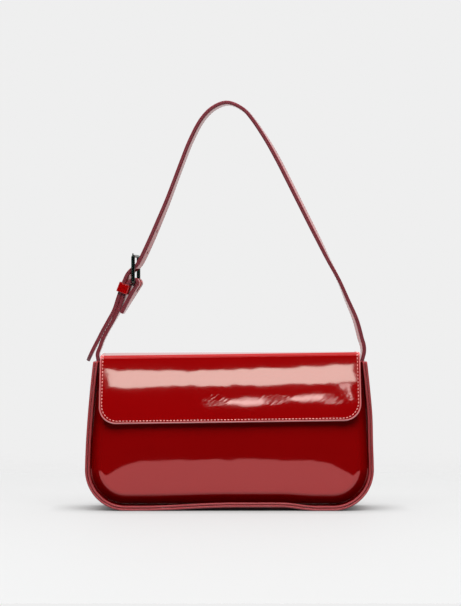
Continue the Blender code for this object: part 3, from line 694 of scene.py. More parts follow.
def makeBaseBoard():
    # A loose board on the lining of the base. Its ends draw in near both long edges by the
    # corner's size less the height of a quarter circle.
    top = innerInset + lining["baseThickness"]
    half = -float(panelY(0.0, top, -1, clothBehind + lining["clothThickness"] + 2 * bag["gap"]))
    corner = lining["baseCorner"]
    y = half * np.sin(np.linspace(-1, 1, 41) * math.pi / 2)
    over = np.clip((np.abs(y) - half + corner) / corner, 0, 1)
    reach = bag["halfWidth"] - bag["corner"] - corner * (1 - np.sqrt(1 - over**2))
    x = reach[:, None] * np.linspace(-1, 1, 121)
    points = np.stack([x.ravel(), np.repeat(y, 121), np.full(x.size, top)], -1)
    faces = turnedOut(points, gridFaces(*x.shape), (0, 0, 1))
    sheet = thicken(points, faces, sheetUv(points, *x.shape), lining["baseThickness"], 0.3 * mm)
    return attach(makePiece("baseBoard", sheet, cloth, ["base_board"]), "body")


makeBaseBoard()


def makeFlatSheet(name, node, side, behind, x, z, ply):
    # A rectangle of the given places across and up, laid along the panel's curve
    uv = np.stack([x.ravel(), z.ravel()], -1)
    points = np.insert(uv, 1, panelY(x, z, side, behind).ravel(), axis=1)
    faces = turnedOut(points, gridFaces(*x.shape), (0, -side, 0))
    return bodyPly(name, node, points, faces, uv, ply, behind=False)


facingPly = (lining["facingThickness"], 0.4 * mm, facing, "facing_leather")
facingTop = bag["mouth"] - lining["facingMargin"]
for word, side in (("front", -1), ("back", 1)):
    z = np.linspace(facingFoot + bag["gap"], facingTop, 16)[:, None] + np.zeros((1, 90))
    x = np.linspace(-1, 1, 90)[None] * (sideX(z, innerInset) - lining["facingMargin"])
    behind = clothBehind + lining["facingThickness"] / 2
    makeFlatSheet(word + "Facing", word + "_mouth_facing", side, behind, x, z, facingPly)
pocketTop = facingFoot - lining["pocketBelowFacing"]
z = np.linspace(pocketTop - lining["pocketHeight"], pocketTop, 60)[:, None] + np.zeros((1, 100))
x = np.linspace(-0.5, 0.5, 100)[None] * lining["pocketWidth"] + np.zeros_like(z)
pocketPly = (lining["clothThickness"], 0.2 * mm, cloth, "lining_cloth")
pocketBehind = clothBehind + 1.5 * lining["clothThickness"] + bag["gap"]
makeFlatSheet("slipPocket", "slip_pocket", 1, pocketBehind, x, z, pocketPly)


# The flap

flap = {
    "aboveMouth": 9.0 * mm,
    "drop": 63.4 * mm,
    "topWidth": 241.8 * mm,
    "bottomWidth": 244.8 * mm,
    "shift": 0.6 * mm,
    "corner": 15 * mm,
    "clearance": 1.8 * mm,
    "thickness": 3.0 * mm,
    "shell": 2.2 * mm,
    "lining": 0.6 * mm,
    "edgeBulge": 1.5 * mm,
    "backBend": 7.0 * mm,
    "frontBend": 4.4 * mm,
    "acrossCurve": 0.25,
    "askew": 0.0137,
    "sag": 1.1 * mm,
    "riseShare": 0.4,
    "liningBehind": 0.45 * mm,
    "liningMargin": 1.6 * mm,
    "liningBulge": 0.25 * mm,
    "bendReach": (0, -6 * mm, 3 * mm),
    "bendSteps": 14, "topSteps": 24, "dropSteps": 60, "cornerSteps": 20, "columns": 161,
}
flapTop = bag["mouth"] + flap["aboveMouth"]
flapFoot = flapTop - flap["drop"]
hingeHeight = bag["mouth"] + bag["gap"] / 2


def flapFrontY(x, z):
    # Stiffer than the panel under it: the middle's crown, and only gently curved across
    across = 1 - flap["acrossCurve"] * (x / bag["halfWidth"]) ** 2
    crown = crownAt(0 * x, z, bag["frontCrown"], 1) * across
    return -(depthAt(z) / 2 - bag["rimHeight"] + crown) - flap["clearance"] - flap["thickness"]


def flapSurface(inset, margin):
    # Rows across the flap: a rise, a quarter circle at the back, a flat top, a curve at the
    # front that ends at the drop's own slope, and the drop, which narrows to its round corners
    def row(x, y, z):
        return x, y, np.full_like(x, z)

    probe = 1 * mm
    bendTop = np.full(1, flapTop - flap["frontBend"])
    slope = (flapFrontY(np.zeros(1), bendTop + probe) - flapFrontY(np.zeros(1), bendTop))[0] / probe
    tilt = math.atan(slope)
    lean = (flap["bottomWidth"] - flap["topWidth"]) / flap["drop"]
    share = np.linspace(-1, 1, flap["columns"])
    joint = flapTop - flap["frontBend"] * (1 - math.sin(tilt))
    x = share * (flap["topWidth"] / 2 - margin)
    backY = panelY(x, np.full_like(x, bag["mouth"]), 1, 0)
    backMiddle = backY - flap["backBend"]
    frontMiddle = flapFrontY(x, np.full_like(x, joint)) + flap["frontBend"] * math.cos(tilt)

    rows = [row(x, backY - inset, hingeHeight + bag["gap"] / 2)]
    radius, low = flap["backBend"] - inset, flapTop - flap["backBend"]
    for turn in np.linspace(0, math.pi / 2, flap["bendSteps"] + 1):
        rows.append(row(x, backMiddle + radius * math.cos(turn), low + radius * math.sin(turn)))
    for part in np.linspace(0, 1, flap["topSteps"] + 1)[1:-1]:
        rows.append(row(x, backMiddle + (frontMiddle - backMiddle) * part, flapTop - inset))
    radius, low = flap["frontBend"] - inset, flapTop - flap["frontBend"]
    for turn in np.linspace(math.pi / 2, tilt, flap["bendSteps"] + 1):
        rows.append(row(x, frontMiddle - radius * math.cos(turn), low + radius * math.sin(turn)))
    foot = flapFoot + margin
    drop = np.linspace(joint - inset * math.sin(tilt), foot + flap["corner"], flap["dropSteps"] + 1)[1:]
    arc = np.linspace(0, math.pi / 2, flap["cornerSteps"] + 1)[1:]
    heights = np.concatenate([drop, foot + flap["corner"] * (1 - np.sin(arc))])
    cuts = np.concatenate([0 * drop, flap["corner"] * (1 - np.cos(arc))])
    for z, cut in zip(heights, cuts):
        x = share * ((flap["topWidth"] + lean * (flapTop - z)) / 2 - margin - cut)
        rows.append(row(x, flapFrontY(x, np.full_like(x, z)) + inset, z))
    surface = np.array(rows).transpose(0, 2, 1)
    back, front, rise = backMiddle.mean(), frontMiddle.mean(), flap["riseShare"]
    ahead = np.clip((back - surface[..., 1]) / (back - front), 0, 1)
    risen = np.clip((surface[..., 2] - hingeHeight) / (flapTop - hingeHeight), 0, 1)
    ahead = np.where(surface[..., 1] < back, rise + (1 - rise) * ahead, rise * risen)
    surface[..., 2] += ahead * (flap["askew"] * surface[..., 0] - flap["sag"])
    surface[..., 0] += flap["shift"]
    return surface


def makeFlapPly(name, inset, margin, thickness, bulge, material, nodes, rim=None):
    grid = flapSurface(inset, margin)
    points = grid.reshape(-1, 3)
    faces = turnedOut(points, gridFaces(*grid.shape[:2]), (0, -1, 0))
    sheet = thicken(points, faces, sheetUv(points, *grid.shape[:2]), thickness, bulge)
    return bendFlap(makePiece(name, sheet, material, nodes, rim))


def bendFlap(piece):
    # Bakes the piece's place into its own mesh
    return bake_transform(piece)


print("flap")
makeFlapPly(
    "flapShell", 0, flap["edgeBulge"] * 0.5, flap["shell"], flap["edgeBulge"], flapPatent,
    ["flap_outer", "flap_board"], paleFlapEdgeHighlight,
)
makeFlapPly(
    "flapLining", flap["shell"] + flap["liningBehind"], flap["liningMargin"], flap["lining"],
    flap["liningBulge"], facing, ["flap_lining"],
)


# Strap routes, as points across and up

route = {
    "rise": 244.5 * mm,
    "longShares": [
        (0.921, 0.088), (0.884, 0.163), (0.826, 0.239), (0.767, 0.316), (0.695, 0.392),
        (0.626, 0.469), (0.557, 0.545), (0.487, 0.622), (0.418, 0.698), (0.348, 0.774),
        (0.270, 0.851), (0.168, 0.935), (0.094, 0.978), (-0.010, 1.001), (-0.112, 0.981),
        (-0.197, 0.932), (-0.272, 0.853), (-0.329, 0.774), (-0.381, 0.698), (-0.433, 0.622),
        (-0.491, 0.545), (-0.550, 0.469), (-0.612, 0.396), (-0.642, 0.370), (-0.675, 0.355),
        (-0.698, 0.341), (-0.713, 0.326), (-0.724, 0.312), (-0.733, 0.299), (-0.747, 0.279),
        (-0.774, 0.239), (-0.801, 0.201), (-0.841, 0.163), (-0.881, 0.125), (-0.916, 0.087),
        (-0.948, 0.053), (-0.990, 0.005),
    ],
    "shortShares": [(-0.884, 0.088), (-0.849, 0.125), (-0.8085, 0.163)],
    "rightRootShares": [(0.931, 0.014), (0.938, 0.034), (0.938, 0.052), (0.931, 0.072)],
    "leftRootShares": [(-0.922, 0.030), (-0.903, 0.060)],
    "rootDepth": 26 * mm,
    "keeperShare": 0.8594,
    "besideReach": 19 * mm,
    "endReach": 22 * mm,
    "leadOn": 2.4 * mm,
    "leadAside": 0.7 * mm,
    "heelTurns": (124, -48),
}
strap = {
    "width": 18.5 * mm,
    "thickness": 3.4 * mm,
    "gap": 0.3 * mm,
    "edgeBulge": 0.6 * mm,
    "tipLength": 9.0 * mm,
    "tipShare": 0.32,
    "step": 1.4 * mm,
    "columns": 9,
    "holeRadius": 1.7 * mm,
    "holePitch": 22 * mm,
    "spareHoles": (-2, -1, 1, 2),
    "leftSlants": ((0.18, 172 * mm, 208 * mm), (-0.08, 240 * mm, 320 * mm)),
    "rightSlants": (
        (-0.11, 134 * mm, 162 * mm), (0.29, 165 * mm, 270 * mm), (-0.08, 330 * mm, 383 * mm),
    ),
    "bendReach": 20 * mm,
}
buckle = {
    "wire": 1.4 * mm,
    "rail": 1.75 * mm,
    "corner": 2.2 * mm,
    "prongRadius": 1.0 * mm,
    "runningGap": 0.25 * mm,
    "restGap": 0.3 * mm,
    "overhang": 3.0 * mm,
    "step": 0.9 * mm,
    "eyeTurns": (75, -180),
    "eyeShares": (0.6, 0.9),
    "taper": (0.3, 0.6, 0.85),
    "taperShares": (0.85, 0.65, 0.5),
    "domeTurns": (30, 60, 80),
    "slotWidth": 4.6 * mm,
    "slotRadius": 8.2 * mm,
    "holeLength": 11.0 * mm,
    "holeWidth": 3.6 * mm,
}
keeper = {
    "height": 9.0 * mm,
    "bandHeight": 9.4 * mm,
    "wall": 1.4 * mm,
    "clearance": 0.4 * mm,
    "edgeBulge": 0.35 * mm,
    "corner": 1.6 * mm,
    "travel": 3.0 * mm,
}


def sharePoint(share):
    return share[0] * bag["halfWidth"], bag["mouth"] + share[1] * route["rise"]


def smoothRoute(points, spacing=0.5 * mm):
    # Between two points a cubic of the share t, whose end directions follow the neighbours
    points = np.array(points, float)
    ends = np.vstack([2 * points[0] - points[1], points, 2 * points[-1] - points[-2]])
    dense = []
    for before, start, end, after in zip(ends, ends[1:], ends[2:], ends[3:]):
        steps = max(int(np.linalg.norm(end - start) / spacing), 2)
        t = np.linspace(0, 1, steps, endpoint=False)[:, None]
        bend, twist = 2 * before - 5 * start + 4 * end - after, 3 * start - before - 3 * end + after
        dense.append(start + ((end - before) * t + bend * t**2 + twist * t**3) / 2)
    return np.vstack(dense + [points[-1:]])


def routeLengths(line):
    return np.concatenate([[0], np.cumsum(np.linalg.norm(np.diff(line, axis=0), axis=1))])


def stations(line, distances, probe=1.2 * mm):
    # The points and directions at distances along a route
    lengths = routeLengths(line)

    def at(where):
        return np.stack([np.interp(where, lengths, line[:, axis]) for axis in (0, 1)], -1)

    here, ahead = at(distances), at(distances + probe) - at(distances - probe)
    return here, ahead / np.linalg.norm(ahead, axis=-1, keepdims=True)


def leftOf(direction):
    # The normal on the outer side of the long strap's route
    return np.stack([direction[..., 1], -direction[..., 0]], -1)


rootInset = bag["gussetLeather"] + bag["gap"] + strap["thickness"] / 2
rootHeights = np.linspace(bag["mouth"] - route["rootDepth"], bag["mouth"], 5)
rootLine = np.stack([sideX(rootHeights, rootInset), rootHeights], -1)
topRoute = smoothRoute([sharePoint(share) for share in route["longShares"]])
keeperDistance = routeLengths(topRoute)[-1] * route["keeperShare"]
keeperPoint, keeperDirection = (part[0] for part in stations(topRoute, np.array([keeperDistance])))
heel = Vector(((buckleLow.x + buckleHigh.x) / 2, 0, buckleLow.z + buckle["wire"]))
topBar = Vector((heel.x, 0, buckleHigh.z - buckle["wire"]))


def longRoute():
    points = [(x + bag["pull"], z) for x, z in rootLine]
    points += [sharePoint(share) for share in route["rightRootShares"] + route["longShares"]]
    return smoothRoute(points)


def shortRoute():
    # Up from the left root, beside the tail, round the heel bar and down again
    beside = strap["thickness"] + strap["gap"]
    points = [(-x, z) for x, z in rootLine]
    points += [sharePoint(share) for share in route["leftRootShares"] + route["shortShares"]]
    joined = keeperDistance + np.linspace(route["besideReach"], -keeper["height"] / 2, 6)
    here, direction = stations(topRoute, joined)
    points += [tuple(point) for point in here - leftOf(direction) * beside]
    aside = leftOf(direction[-1]) * route["leadAside"]
    points.append(tuple(np.array(points[-1]) - direction[-1] * route["leadOn"] - aside))
    radius = buckle["wire"] + strap["gap"] + strap["thickness"] / 2
    turns = np.radians(np.linspace(*route["heelTurns"], 8))
    points += [(heel.x + radius * math.cos(turn), heel.z + radius * math.sin(turn)) for turn in turns]
    past = np.array([keeper["height"] / 2 + keeper["travel"], route["endReach"]])
    here, direction = stations(topRoute, keeperDistance + past)
    room = keeper["wall"] + keeper["clearance"] + strap["gap"]
    points.append(tuple(here[0] - leftOf(direction[0]) * (2 * beside + room)))
    points.append(tuple(here[1] - leftOf(direction[1]) * 2 * beside))
    return smoothRoute(points)


def twisted(points):
    # How far the strap's rear edge stands to the right of its front edge, per depth: on each
    # leg a sum of steps, each a smooth rise from one height to another
    left, right = (
        sum(amount * smoothShare(points[:, 2], low, high) for amount, low, high in strap[key])
        for key in ("leftSlants", "rightSlants")
    )
    slant = np.where(points[:, 0] < 0, left, right)
    return points + np.stack([slant * points[:, 1], 0 * slant, 0 * slant], -1)


def makeRibbon(name, line, tip, material, nodes, holes):
    # A band across Y along the route. Its tip narrows as half an ellipse.
    total = routeLengths(line)[-1]
    stops = np.linspace(0, total, int(total / strap["step"]))
    if tip:
        turns = np.linspace(0, math.pi / 2, 10)[1:]
        bodyStops = np.linspace(0, total - tip, int((total - tip) / strap["step"]))
        stops = np.concatenate([bodyStops, total - tip + tip * np.sin(turns)])
    here, direction = stations(line, stops)
    share = np.clip((stops - total + tip) / tip, 0, 1) if tip else 0 * stops
    half = strap["width"] / 2 * np.maximum(np.sqrt(1 - share**2), strap["tipShare"]) - strap["edgeBulge"]
    across = np.linspace(-1, 1, strap["columns"])
    y = half[:, None] * across
    x, z = np.repeat(here, strap["columns"], axis=0).T
    points = np.stack([x, y.ravel(), z], -1)
    faces = gridFaces(*y.shape)
    uv = sheetUv(points, *y.shape)
    built = thicken(points, faces, uv, strap["thickness"], strap["edgeBulge"], 10, behind=False)
    piece = makePiece(name, built, material, nodes, strapEdge)
    for cutter in holes:
        cutWith(piece, cutter)
    settle(piece)
    for cutter in holes:
        bpy.data.objects.remove(cutter, do_unlink=True)
    mesh = piece.data
    corners = np.empty(len(mesh.vertices) * 3)
    mesh.vertices.foreach_get("co", corners)
    mesh.vertices.foreach_set("co", twisted(corners.reshape(-1, 3)).ravel())
    mesh.update()
    return piece


def cutWith(piece, cutter):
    hole = piece.modifiers.new("hole", "BOOLEAN")
    hole.operation = "DIFFERENCE"
    hole.solver = "EXACT"
    hole.object = cutter


def settle(piece):
    # Makes the modifiers' result the piece's own mesh
    bpy.context.view_layer.update()
    graph = bpy.context.evaluated_depsgraph_get()
    result = bpy.data.meshes.new_from_object(
        piece.evaluated_get(graph), preserve_all_data_layers=True, depsgraph=graph
    )
    piece.modifiers.clear()
    piece.data = result
    result.set_sharp_from_angle(angle=math.radians(38))


def rodMesh(name, section, centre, along, length=12 * mm):
    # A prism whose outline, given across and up, is pushed half its length each way
    along = Vector(along).normalized()
    first = Vector((0, 1, 0)) if abs(along.y) < 0.5 else Vector((1, 0, 0))
    second = along.cross(first)
    count = len(section)
    ends = []
    for reach in (-length / 2, length / 2):
        for one, two in section:
            ends.append(Vector(centre) + first * one + second * two + along * reach)
    sides = [(i, (i + 1) % count, count + (i + 1) % count, count + i) for i in range(count)]
    faces = [list(range(count))[::-1], [count + i for i in range(count)]] + sides
    mesh = bpy.data.meshes.new(name)
    mesh.from_pydata(ends, [], faces)
    mesh.update()
    return addObject(name, mesh)


def circle(radius, count=28):
    return [
        (radius * math.cos(turn), radius * math.sin(turn))
        for turn in np.linspace(0, 2 * math.pi, count, endpoint=False)
    ]


def roundedOutline(one, two, corner, count):
    # A rectangle of these half sizes, whose corners are quarter circles
    return [
        (out * (one - corner) + corner * math.cos(turn), up * (two - corner) + corner * math.sin(turn))
        for out, up, start in ((1, 1, 0), (-1, 1, 90), (-1, -1, 180), (1, -1, 270))
        for turn in np.radians(np.linspace(start, start + 90, count))
    ]


def slotOutline(length, width, count=9):
    # Two half circles joined by straight sides, the long way along the strap
    reach = (length - width) / 2
    turns = np.linspace(0, math.pi, count)
    half = [(width / 2 * math.cos(turn), reach + width / 2 * math.sin(turn)) for turn in turns]
    return half + [(-one, -two) for one, two in half]


print("strap")
upRoute = longRoute()
prongX = heel.x - buckle["wire"] - buckle["runningGap"] - buckle["prongRadius"]
prongZone = (topRoute[:, 0] < 0) & (topRoute[:, 1] > heel.z) & (topRoute[:, 1] < topBar.z)
crossing = np.where(prongZone, np.abs(topRoute[:, 0] - prongX), 1)
prongDistance = routeLengths(topRoute)[int(np.argmin(crossing))]


def strapHole(distance, outline):
    here, direction = (part[0] for part in stations(topRoute, np.array([distance])))
    normal = leftOf(direction)
    return rodMesh("hole", outline, (here[0], 0, here[1]), (normal[0], 0, normal[1]))


holes = [strapHole(prongDistance, slotOutline(buckle["holeLength"], buckle["holeWidth"]))]
for step in strap["spareHoles"]:
    holes.append(strapHole(prongDistance + step * strap["holePitch"], circle(strap["holeRadius"])))
longStrap = makeRibbon(
    "longStrap", upRoute, strap["tipLength"], strapPatent,
    ["right_strap_root", "long_strap_outer", "long_strap_inner"], holes,
)
slotCutter = rodMesh("slot", circle(buckle["slotRadius"], 40), heel, (0, 1, 0), buckle["slotWidth"])
shortStrap = makeRibbon(
    "shortStrap", shortRoute(), 0, strapPatent,
    ["left_strap_root", "short_strap_outer", "short_strap_inner"], [slotCutter],
)


def swingWithStrap(piece):
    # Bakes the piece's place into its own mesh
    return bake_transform(piece)


swingWithStrap(longStrap)
swingWithStrap(shortStrap)


# The buckle and the keeper

def makeTube(name, node, centres, radii, closed, sides=20):
    # Circles across the path's direction, with one side always along Y where the path allows
    centres = np.array(centres, float)
    if closed:
        ahead = np.roll(centres, -1, axis=0) - np.roll(centres, 1, axis=0)
    else:
        ahead = np.gradient(centres, axis=0)
    ahead = ahead / np.linalg.norm(ahead, axis=1, keepdims=True)
    flat = abs(ahead[:, 1]).max() < 0.5
    side = np.array([0.0, 1.0, 0.0]) if flat else np.array([1.0, 0.0, 0.0])
    first = np.cross(ahead, side)
    first /= np.linalg.norm(first, axis=1, keepdims=True)
    second = np.cross(ahead, first)
    turns = np.linspace(0, 2 * math.pi, sides, endpoint=False)
    ring = np.cos(turns)[None, :, None] * first[:, None] + np.sin(turns)[None, :, None] * second[:, None]
    points = (centres[:, None] + ring * np.array(radii)[:, None, None]).reshape(-1, 3)
    rows = len(centres)
    faces = gridFaces(rows, sides, closed, True).tolist()
    if not closed:
        faces += [list(range(sides))[::-1], list(range((rows - 1) * sides, rows * sides))]
    uv = points[:, [1, 2]]
    return makePiece(name, (twisted(points), faces, uv, len(faces)), gunmetal, [node])


def makeBuckle():
    half = Vector(((buckleHigh.y - buckleLow.y) / 2 - buckle["wire"], (topBar.z - heel.z) / 2))
    middle = (heel + topBar) / 2
    outline = roundedOutline(half.x, half.y, buckle["corner"], 9)
    points = [(middle.x, y, middle.z + z) for y, z in outline]
    spaced = []
    for start, end in zip(points, points[1:] + points[:1]):
        steps = max(int((Vector(end) - Vector(start)).length / buckle["step"]), 1)
        spaced += [tuple(Vector(start).lerp(Vector(end), step / steps)) for step in range(steps)]
    depths = np.abs(np.array(spaced)[:, 1])
    thicker = smoothShare(depths, half.x - buckle["corner"], half.x)
    radii = buckle["wire"] + (buckle["rail"] - buckle["wire"]) * thicker
    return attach(makeTube("buckleFrame", "buckle_frame", spaced, radii, True), "buckle")


def makeProng():
    # An eye round the heel bar, a straight shank, and a tip that narrows and is rounded off
    radius = buckle["wire"] + buckle["runningGap"] + buckle["prongRadius"]
    turns = np.radians(np.linspace(*buckle["eyeTurns"], 30))
    eye = [(heel.x + radius * math.cos(turn), 0, heel.z + radius * math.sin(turn)) for turn in turns]
    rest = (topBar.x - buckle["wire"] - buckle["restGap"] - buckle["prongRadius"], 0, topBar.z)
    shank = [tuple(Vector(eye[-1]).lerp(Vector(rest), share)) for share in np.linspace(0, 1, 16)[1:]]
    taper = [(rest[0], 0, rest[2] + buckle["overhang"] * share) for share in buckle["taper"]]
    tipShare, domeTurns = buckle["taperShares"][-1], np.radians(buckle["domeTurns"])
    tipRadius = buckle["prongRadius"] * tipShare
    dome = [(*taper[-1][:2], taper[-1][2] + tipRadius * math.sin(turn)) for turn in domeTurns]
    shares = [*buckle["eyeShares"]] + [1] * (len(eye) + len(shank) - 2)
    shares += [*buckle["taperShares"]] + [tipShare * math.cos(turn) for turn in domeTurns]
    radii = [buckle["prongRadius"] * share for share in shares]
    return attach(makeTube("buckleProng", "buckle_prong", eye + shank + taper + dome, radii, False), "prong")


def makeKeeper():
    # A leather loop: a rounded rectangle round both straps, as wide along them as its height
    normal = leftOf(keeperDirection)
    centre = keeperPoint - normal * (strap["thickness"] + strap["gap"]) / 2
    halfThrough = strap["thickness"] + strap["gap"] / 2 + keeper["clearance"]
    halfAcross = strap["width"] / 2 + keeper["clearance"]
    wall = keeper["wall"]
    loop = np.array(roundedOutline(halfAcross + wall, halfThrough + wall, keeper["corner"], 8))
    spread = np.linspace(-0.5, 0.5, 13) * (keeper["bandHeight"] - 2 * keeper["edgeBulge"])
    spread = spread - (keeper["bandHeight"] - keeper["height"]) / 2
    y = np.repeat(loop[:, 0], len(spread))
    through = np.repeat(loop[:, 1], len(spread))
    along = np.tile(spread, len(loop))
    flat = centre + through[:, None] * normal + along[:, None] * keeperDirection
    points = np.stack([flat[:, 0], y, flat[:, 1]], -1)
    faces = gridFaces(len(loop), len(spread), closed=True)
    middle = np.array([centre[0], 0, centre[1]])
    if ((points - middle) * cornerNormals(points, faces)).sum() < 0:
        faces = faces[:, ::-1]
    uv = np.stack([np.repeat(np.arange(len(loop)) * mm, len(spread)), along], -1)
    built = thicken(points, faces, uv, wall, keeper["edgeBulge"], 6)
    sheet = (twisted(built[0]), *built[1:])
    piece = makePiece("keeperLoop", sheet, strapPatent, ["keeper_loop"], strapEdge)
    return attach(piece, "keeper")


print("buckle")
makeBuckle()
makeProng()
makeKeeper()


# Stitches

stitch = {
    "pitch": 3.15 * mm,
    "length": 2.0 * mm,
    "width": 1.05 * mm,
    "height": 0.3 * mm,
    "flatHeight": 0.12 * mm,
    "fromEdge": 2.0 * mm,
    "gussetFromEdge": 3.2 * mm,
    "sunk": 0.02 * mm,
    "strapStart": 3 * mm,
    "longTip": 10 * mm,
    "shortTip": 2 * mm,
    "rings": 6, "sides": 8,
}


def makeStitches(name, lines, material, height):
    # On each spot of a line, an ellipsoid: the cosine and sine of two turns times the stitch's
    # half length along the line, half width across it and height above it
    sides = stitch["sides"]
    tall = np.linspace(-math.pi / 2, math.pi / 2, stitch["rings"] + 1)[1:-1]
    turns = np.linspace(0, 2 * math.pi, sides, endpoint=False)
    shape = np.stack([
        np.repeat(np.sin(tall), sides) * stitch["length"] / 2,
        np.outer(np.cos(tall), np.cos(turns)).ravel() * stitch["width"] / 2,
        np.outer(np.cos(tall), np.sin(turns)).ravel() * height,
    ], -1)
    tips = np.array([[-1, 0, 0], [1, 0, 0]]) * stitch["length"] / 2
    shape = np.vstack([shape, tips])
    low, last = len(tall) * sides, (len(tall) - 1) * sides
    turn = np.arange(sides)
    after = (turn + 1) % sides
    quads = gridFaces(len(tall), sides, around=True)
    caps = np.vstack([
        np.stack([0 * turn + low, after, turn], -1),
        np.stack([0 * turn + low + 1, last + turn, last + after], -1),
    ])
    points = []
    for spots, normals in lines:
        lengths = routeLengths(spots)
        count = max(int(lengths[-1] / stitch["pitch"]), 1)
        where = (np.arange(count) + 0.5) * lengths[-1] / count

        def along(values, distances):
            return np.stack([np.interp(distances, lengths, values[:, axis]) for axis in range(3)], -1)

        ahead = along(spots, where + 0.5 * mm) - along(spots, where - 0.5 * mm)
        up = along(normals, where)
        ahead /= np.linalg.norm(ahead, axis=1, keepdims=True)
        up /= np.linalg.norm(up, axis=1, keepdims=True)
        turned = np.stack([ahead, np.cross(up, ahead), up], 1)
        points.append(along(spots, where)[:, None] + shape @ turned)
    points = np.vstack(points)
    starts = len(shape) * np.arange(len(points))[:, None, None]
    allFaces = [*(starts + quads).reshape(-1, 4).tolist(), *(starts + caps).reshape(-1, 3).tolist()]
    points = points.reshape(-1, 3)
    return makePiece(name, (points, allFaces, points[:, [0, 2]], len(allFaces)), material)


def flapStitchLine():
    # Down one side of the flap from the back bend, round the lower corners, and up the other
    grid = flapSurface(-stitch["sunk"], stitch["fromEdge"])
    faces = gridFaces(*grid.shape[:2])
    points = grid.reshape(-1, 3)
    normals = cornerNormals(points, faces).reshape(grid.shape)
    if normals[-10, grid.shape[1] // 2, 1] > 0:
        normals = -normals
    start = flap["bendSteps"]
    spots = np.vstack([grid[start:, 0], grid[-1, 1:-1], grid[start:, -1][::-1]])
    ups = np.vstack([normals[start:, 0], normals[-1, 1:-1], normals[start:, -1][::-1]])
    return spots, ups


print("stitches")
bendFlap(makeStitches("flapStitches", [flapStitchLine()], thread, stitch["height"]))


def gussetStitchLines():
    # Along the gusset's outer face, near both of its edges
    line = uLine(-stitch["sunk"], bag["mouth"] - stitch["fromEdge"])
    ahead = np.gradient(line, axis=0)
    normal = np.stack([ahead[:, 1], 0 * ahead[:, 0], -ahead[:, 0]], -1)
    normal *= -np.sign((normal * np.array([0, 0, 1])).sum(axis=0)[2])
    ends = bag["sideSteps"] + bag["arcSteps"]
    lines = []
    for side in (-1, 1):
        y = side * (depthAt(line[:, 1]) / 2 - stitch["gussetFromEdge"])
        spots = usedShape(np.stack([line[:, 0], y, line[:, 1]], -1))
        lines += [(spots[:ends], normal[:ends]), (spots[-ends:], normal[-ends:])]
    return lines


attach(makeStitches("gussetStitches", gussetStitchLines(), strapThread, stitch["flatHeight"]), "body")


def strapStitchLines(line, tip):
    # Near both edges of a strap, on its two faces
    total = routeLengths(line)[-1]
    stops = np.arange(stitch["strapStart"], total - tip, 1 * mm)
    here, direction = stations(line, stops)
    normal = leftOf(direction)
    lines = []
    for face in (-1, 1):
        for side in (-1, 1):
            flat = here + normal * face * (strap["thickness"] / 2 - stitch["sunk"])
            y = np.full(len(stops), side * (strap["width"] / 2 - stitch["fromEdge"]))
            spots = twisted(np.stack([flat[:, 0], y, flat[:, 1]], -1))
            lines.append((spots, np.stack([normal[:, 0], 0 * y, normal[:, 1]], -1) * face))
    return lines


for word, line in (("long", upRoute), ("short", shortRoute())):
    seams = strapStitchLines(line, stitch[word + "Tip"])
    swingWithStrap(makeStitches(word + "StrapStitches", seams, strapThread, stitch["flatHeight"]))

for node, material in (("front_magnet", steel), ("flap_magnet", steel)):
    for slotIndex in range(max(len(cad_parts[node].material_slots), 1)):
        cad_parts[node].material_slots[slotIndex].material = material


# The studio

studio = {
    "floorFront": -0.70,
    "floorBack": 0.9,
    "floorSide": 1.3,
    "floorGrey": 0.15,
    "floorGlow": 0.535,
    "shadeReach": 45 * mm,
    "backdrop": 0.863,
    "behindLight": 0.8,
    "frontLight": 0.012,
    "upShare": 0.6,
    "lightRamp": (-0.5, 0.6),
    "sideFade": (0.38, 0.6),
    "backFade": (0.15, 0.85),
    "dustScale": 60.0,
    "dustShare": 0.995,
}


def makeFloor():
    low, high = studio["floorFront"], studio["floorBack"]
    mesh = bpy.data.meshes.new("floor")
    wide = studio["floorSide"]
    corners = [(-wide, low, 0), (wide, low, 0), (wide, high, 0), (-wide, high, 0)]
    mesh.from_pydata(corners, [], [(0, 1, 2, 3)])
    shader = Shader("paleFloor")
    place = shader.place()
    across, deep = shader.axes(place)[:2]
    away = across.through("ABSOLUTE").ramp(*studio["sideFade"], 1.0, 0.0)
    back = deep.ramp(*studio["backFade"], 1.0, 0.0)
    dust = shader.noise(place, studio["dustScale"])
    grey = studio["floorGrey"]
    seen = shader.get("ShaderNodeLightPath", "Is Camera Ray")
    mirrored = shader.get("ShaderNodeLightPath", "Is Glossy Ray")
    reach = {"Distance": studio["shadeReach"]}
    shade = shader.get("ShaderNodeAmbientOcclusion", "AO", {"samples": 8}, reach)
    material = shader.finish({
        "Base Color": shader.mixColor(dust, (grey * studio["dustShare"],) * 3, (grey,) * 3),
        "Roughness": 0.7,
        "Specular IOR Level": 0.2,
        "Alpha": away * back,
        "Emission Color": shade * (seen + mirrored),
        "Emission Strength": studio["floorGlow"],
    })
    mesh.materials.append(material)
    floor = addObject("floor", mesh)


def makeWorld():
    # Pale behind the bag and dark in front of it. The camera itself sees the pale backdrop.
    world = bpy.data.worlds.new("studio")
    bpy.context.scene.world = world
    shader = Shader("studio", world)
    direction = shader.place("Generated")
    deep, up = shader.axes(direction)[1:]
    level = (deep + studio["upShare"] * up).ramp(
        *studio["lightRamp"], studio["frontLight"], studio["behindLight"]
    )
    camera = shader.get("ShaderNodeLightPath", "Is Camera Ray")
    strength = camera * studio["backdrop"] + (1 - camera) * level
    background = shader.tree.nodes["Background"]
    background.inputs["Color"].default_value = (1, 1, 1, 1)
    shader.feed(background.inputs["Strength"], strength)


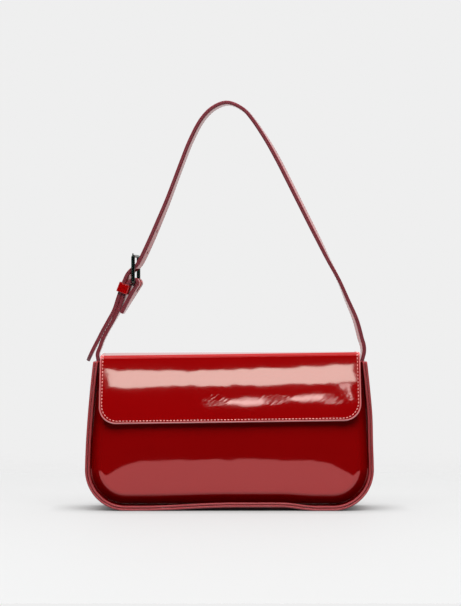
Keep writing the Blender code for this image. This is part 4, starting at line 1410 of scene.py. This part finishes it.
def addLight(name, place, target, width, height, radiance, color=(1, 1, 1), roll=0.0, shape="RECTANGLE"):
    # A flat light whose brightness, not its total power, is set. The roll is in degrees.
    data = bpy.data.lights.new(name, "AREA")
    data.shape = shape
    data.size, data.size_y = width, height
    area = width * height * (math.pi / 4 if shape == "ELLIPSE" else 1)
    data.energy = radiance * math.pi * area
    data.color = color
    light = addObject(name, data)
    light.location = place
    aim = Vector(target) - Vector(place)
    light.rotation_mode = "QUATERNION"
    light.rotation_quaternion = aim.to_track_quat("-Z", "Y") @ Quaternion((0, 0, 1), math.radians(roll))
    return light


camera = {
    "distance": 2.2,
    "height": 194 * mm,
    "across": 1 * mm,
    "plane": -30 * mm,
    "pixel": 0.934 * mm,
    "longSide": 606,
    "sensor": 36.0,
}


def makeCamera():
    data = bpy.data.cameras.new("camera")
    data.sensor_width = camera["sensor"]
    reach = camera["distance"] + camera["plane"]
    data.lens = camera["sensor"] / (camera["longSide"] * camera["pixel"]) * reach
    data.clip_start, data.clip_end = 0.05, 50
    item = addObject("camera", data)
    item.location = (camera["across"], -camera["distance"], camera["height"])
    item.rotation_euler = (math.radians(90), 0, 0)
    bpy.context.scene.camera = item


print("studio")
makeFloor()
makeWorld()
makeCamera()
above, ahead, cyan = (0, -1.05, 1.85), (0, 0, 0.12), (0.43, 1, 0.94)
addLight("key", above, (0, 0, 0.1), 2.3, 1.1, 9.2).visible_glossy = False
addLight("sheen", above, (0, 0, 0.1), 2.3, 1.4, 2.5, (0.5, 1, 0.96)).visible_diffuse = False
addLight("overhead", (0, 0.55, 1.8), (0, 0.3, 0), 2.4, 1.2, 1.6).visible_glossy = False
addLight("frontStrip", (-0.003, -3.2, 0.473), ahead, 0.77, 0.134, 7.4, (0.365, 1, 0.89), 1.8)
addLight("lowStrip", (0.1245, -3.2, 0.277), ahead, 0.395, 0.03, 3.4, cyan, 8.0)
addLight("lowLeft", (0.0558, -3.2, 0.267), ahead, 0.16, 0.075, 5.0, cyan, 8.0, "ELLIPSE")
addLight("lowRight", (0.2447, -3.2, 0.294), ahead, 0.13, 0.06, 4.6, cyan, 8.0, "ELLIPSE")
addLight("tail", (0.362, -3.2, 0.347), ahead, 0.008, 0.125, 8.5, cyan, 10.0)

bpy.context.scene.view_settings.view_transform = "Standard"
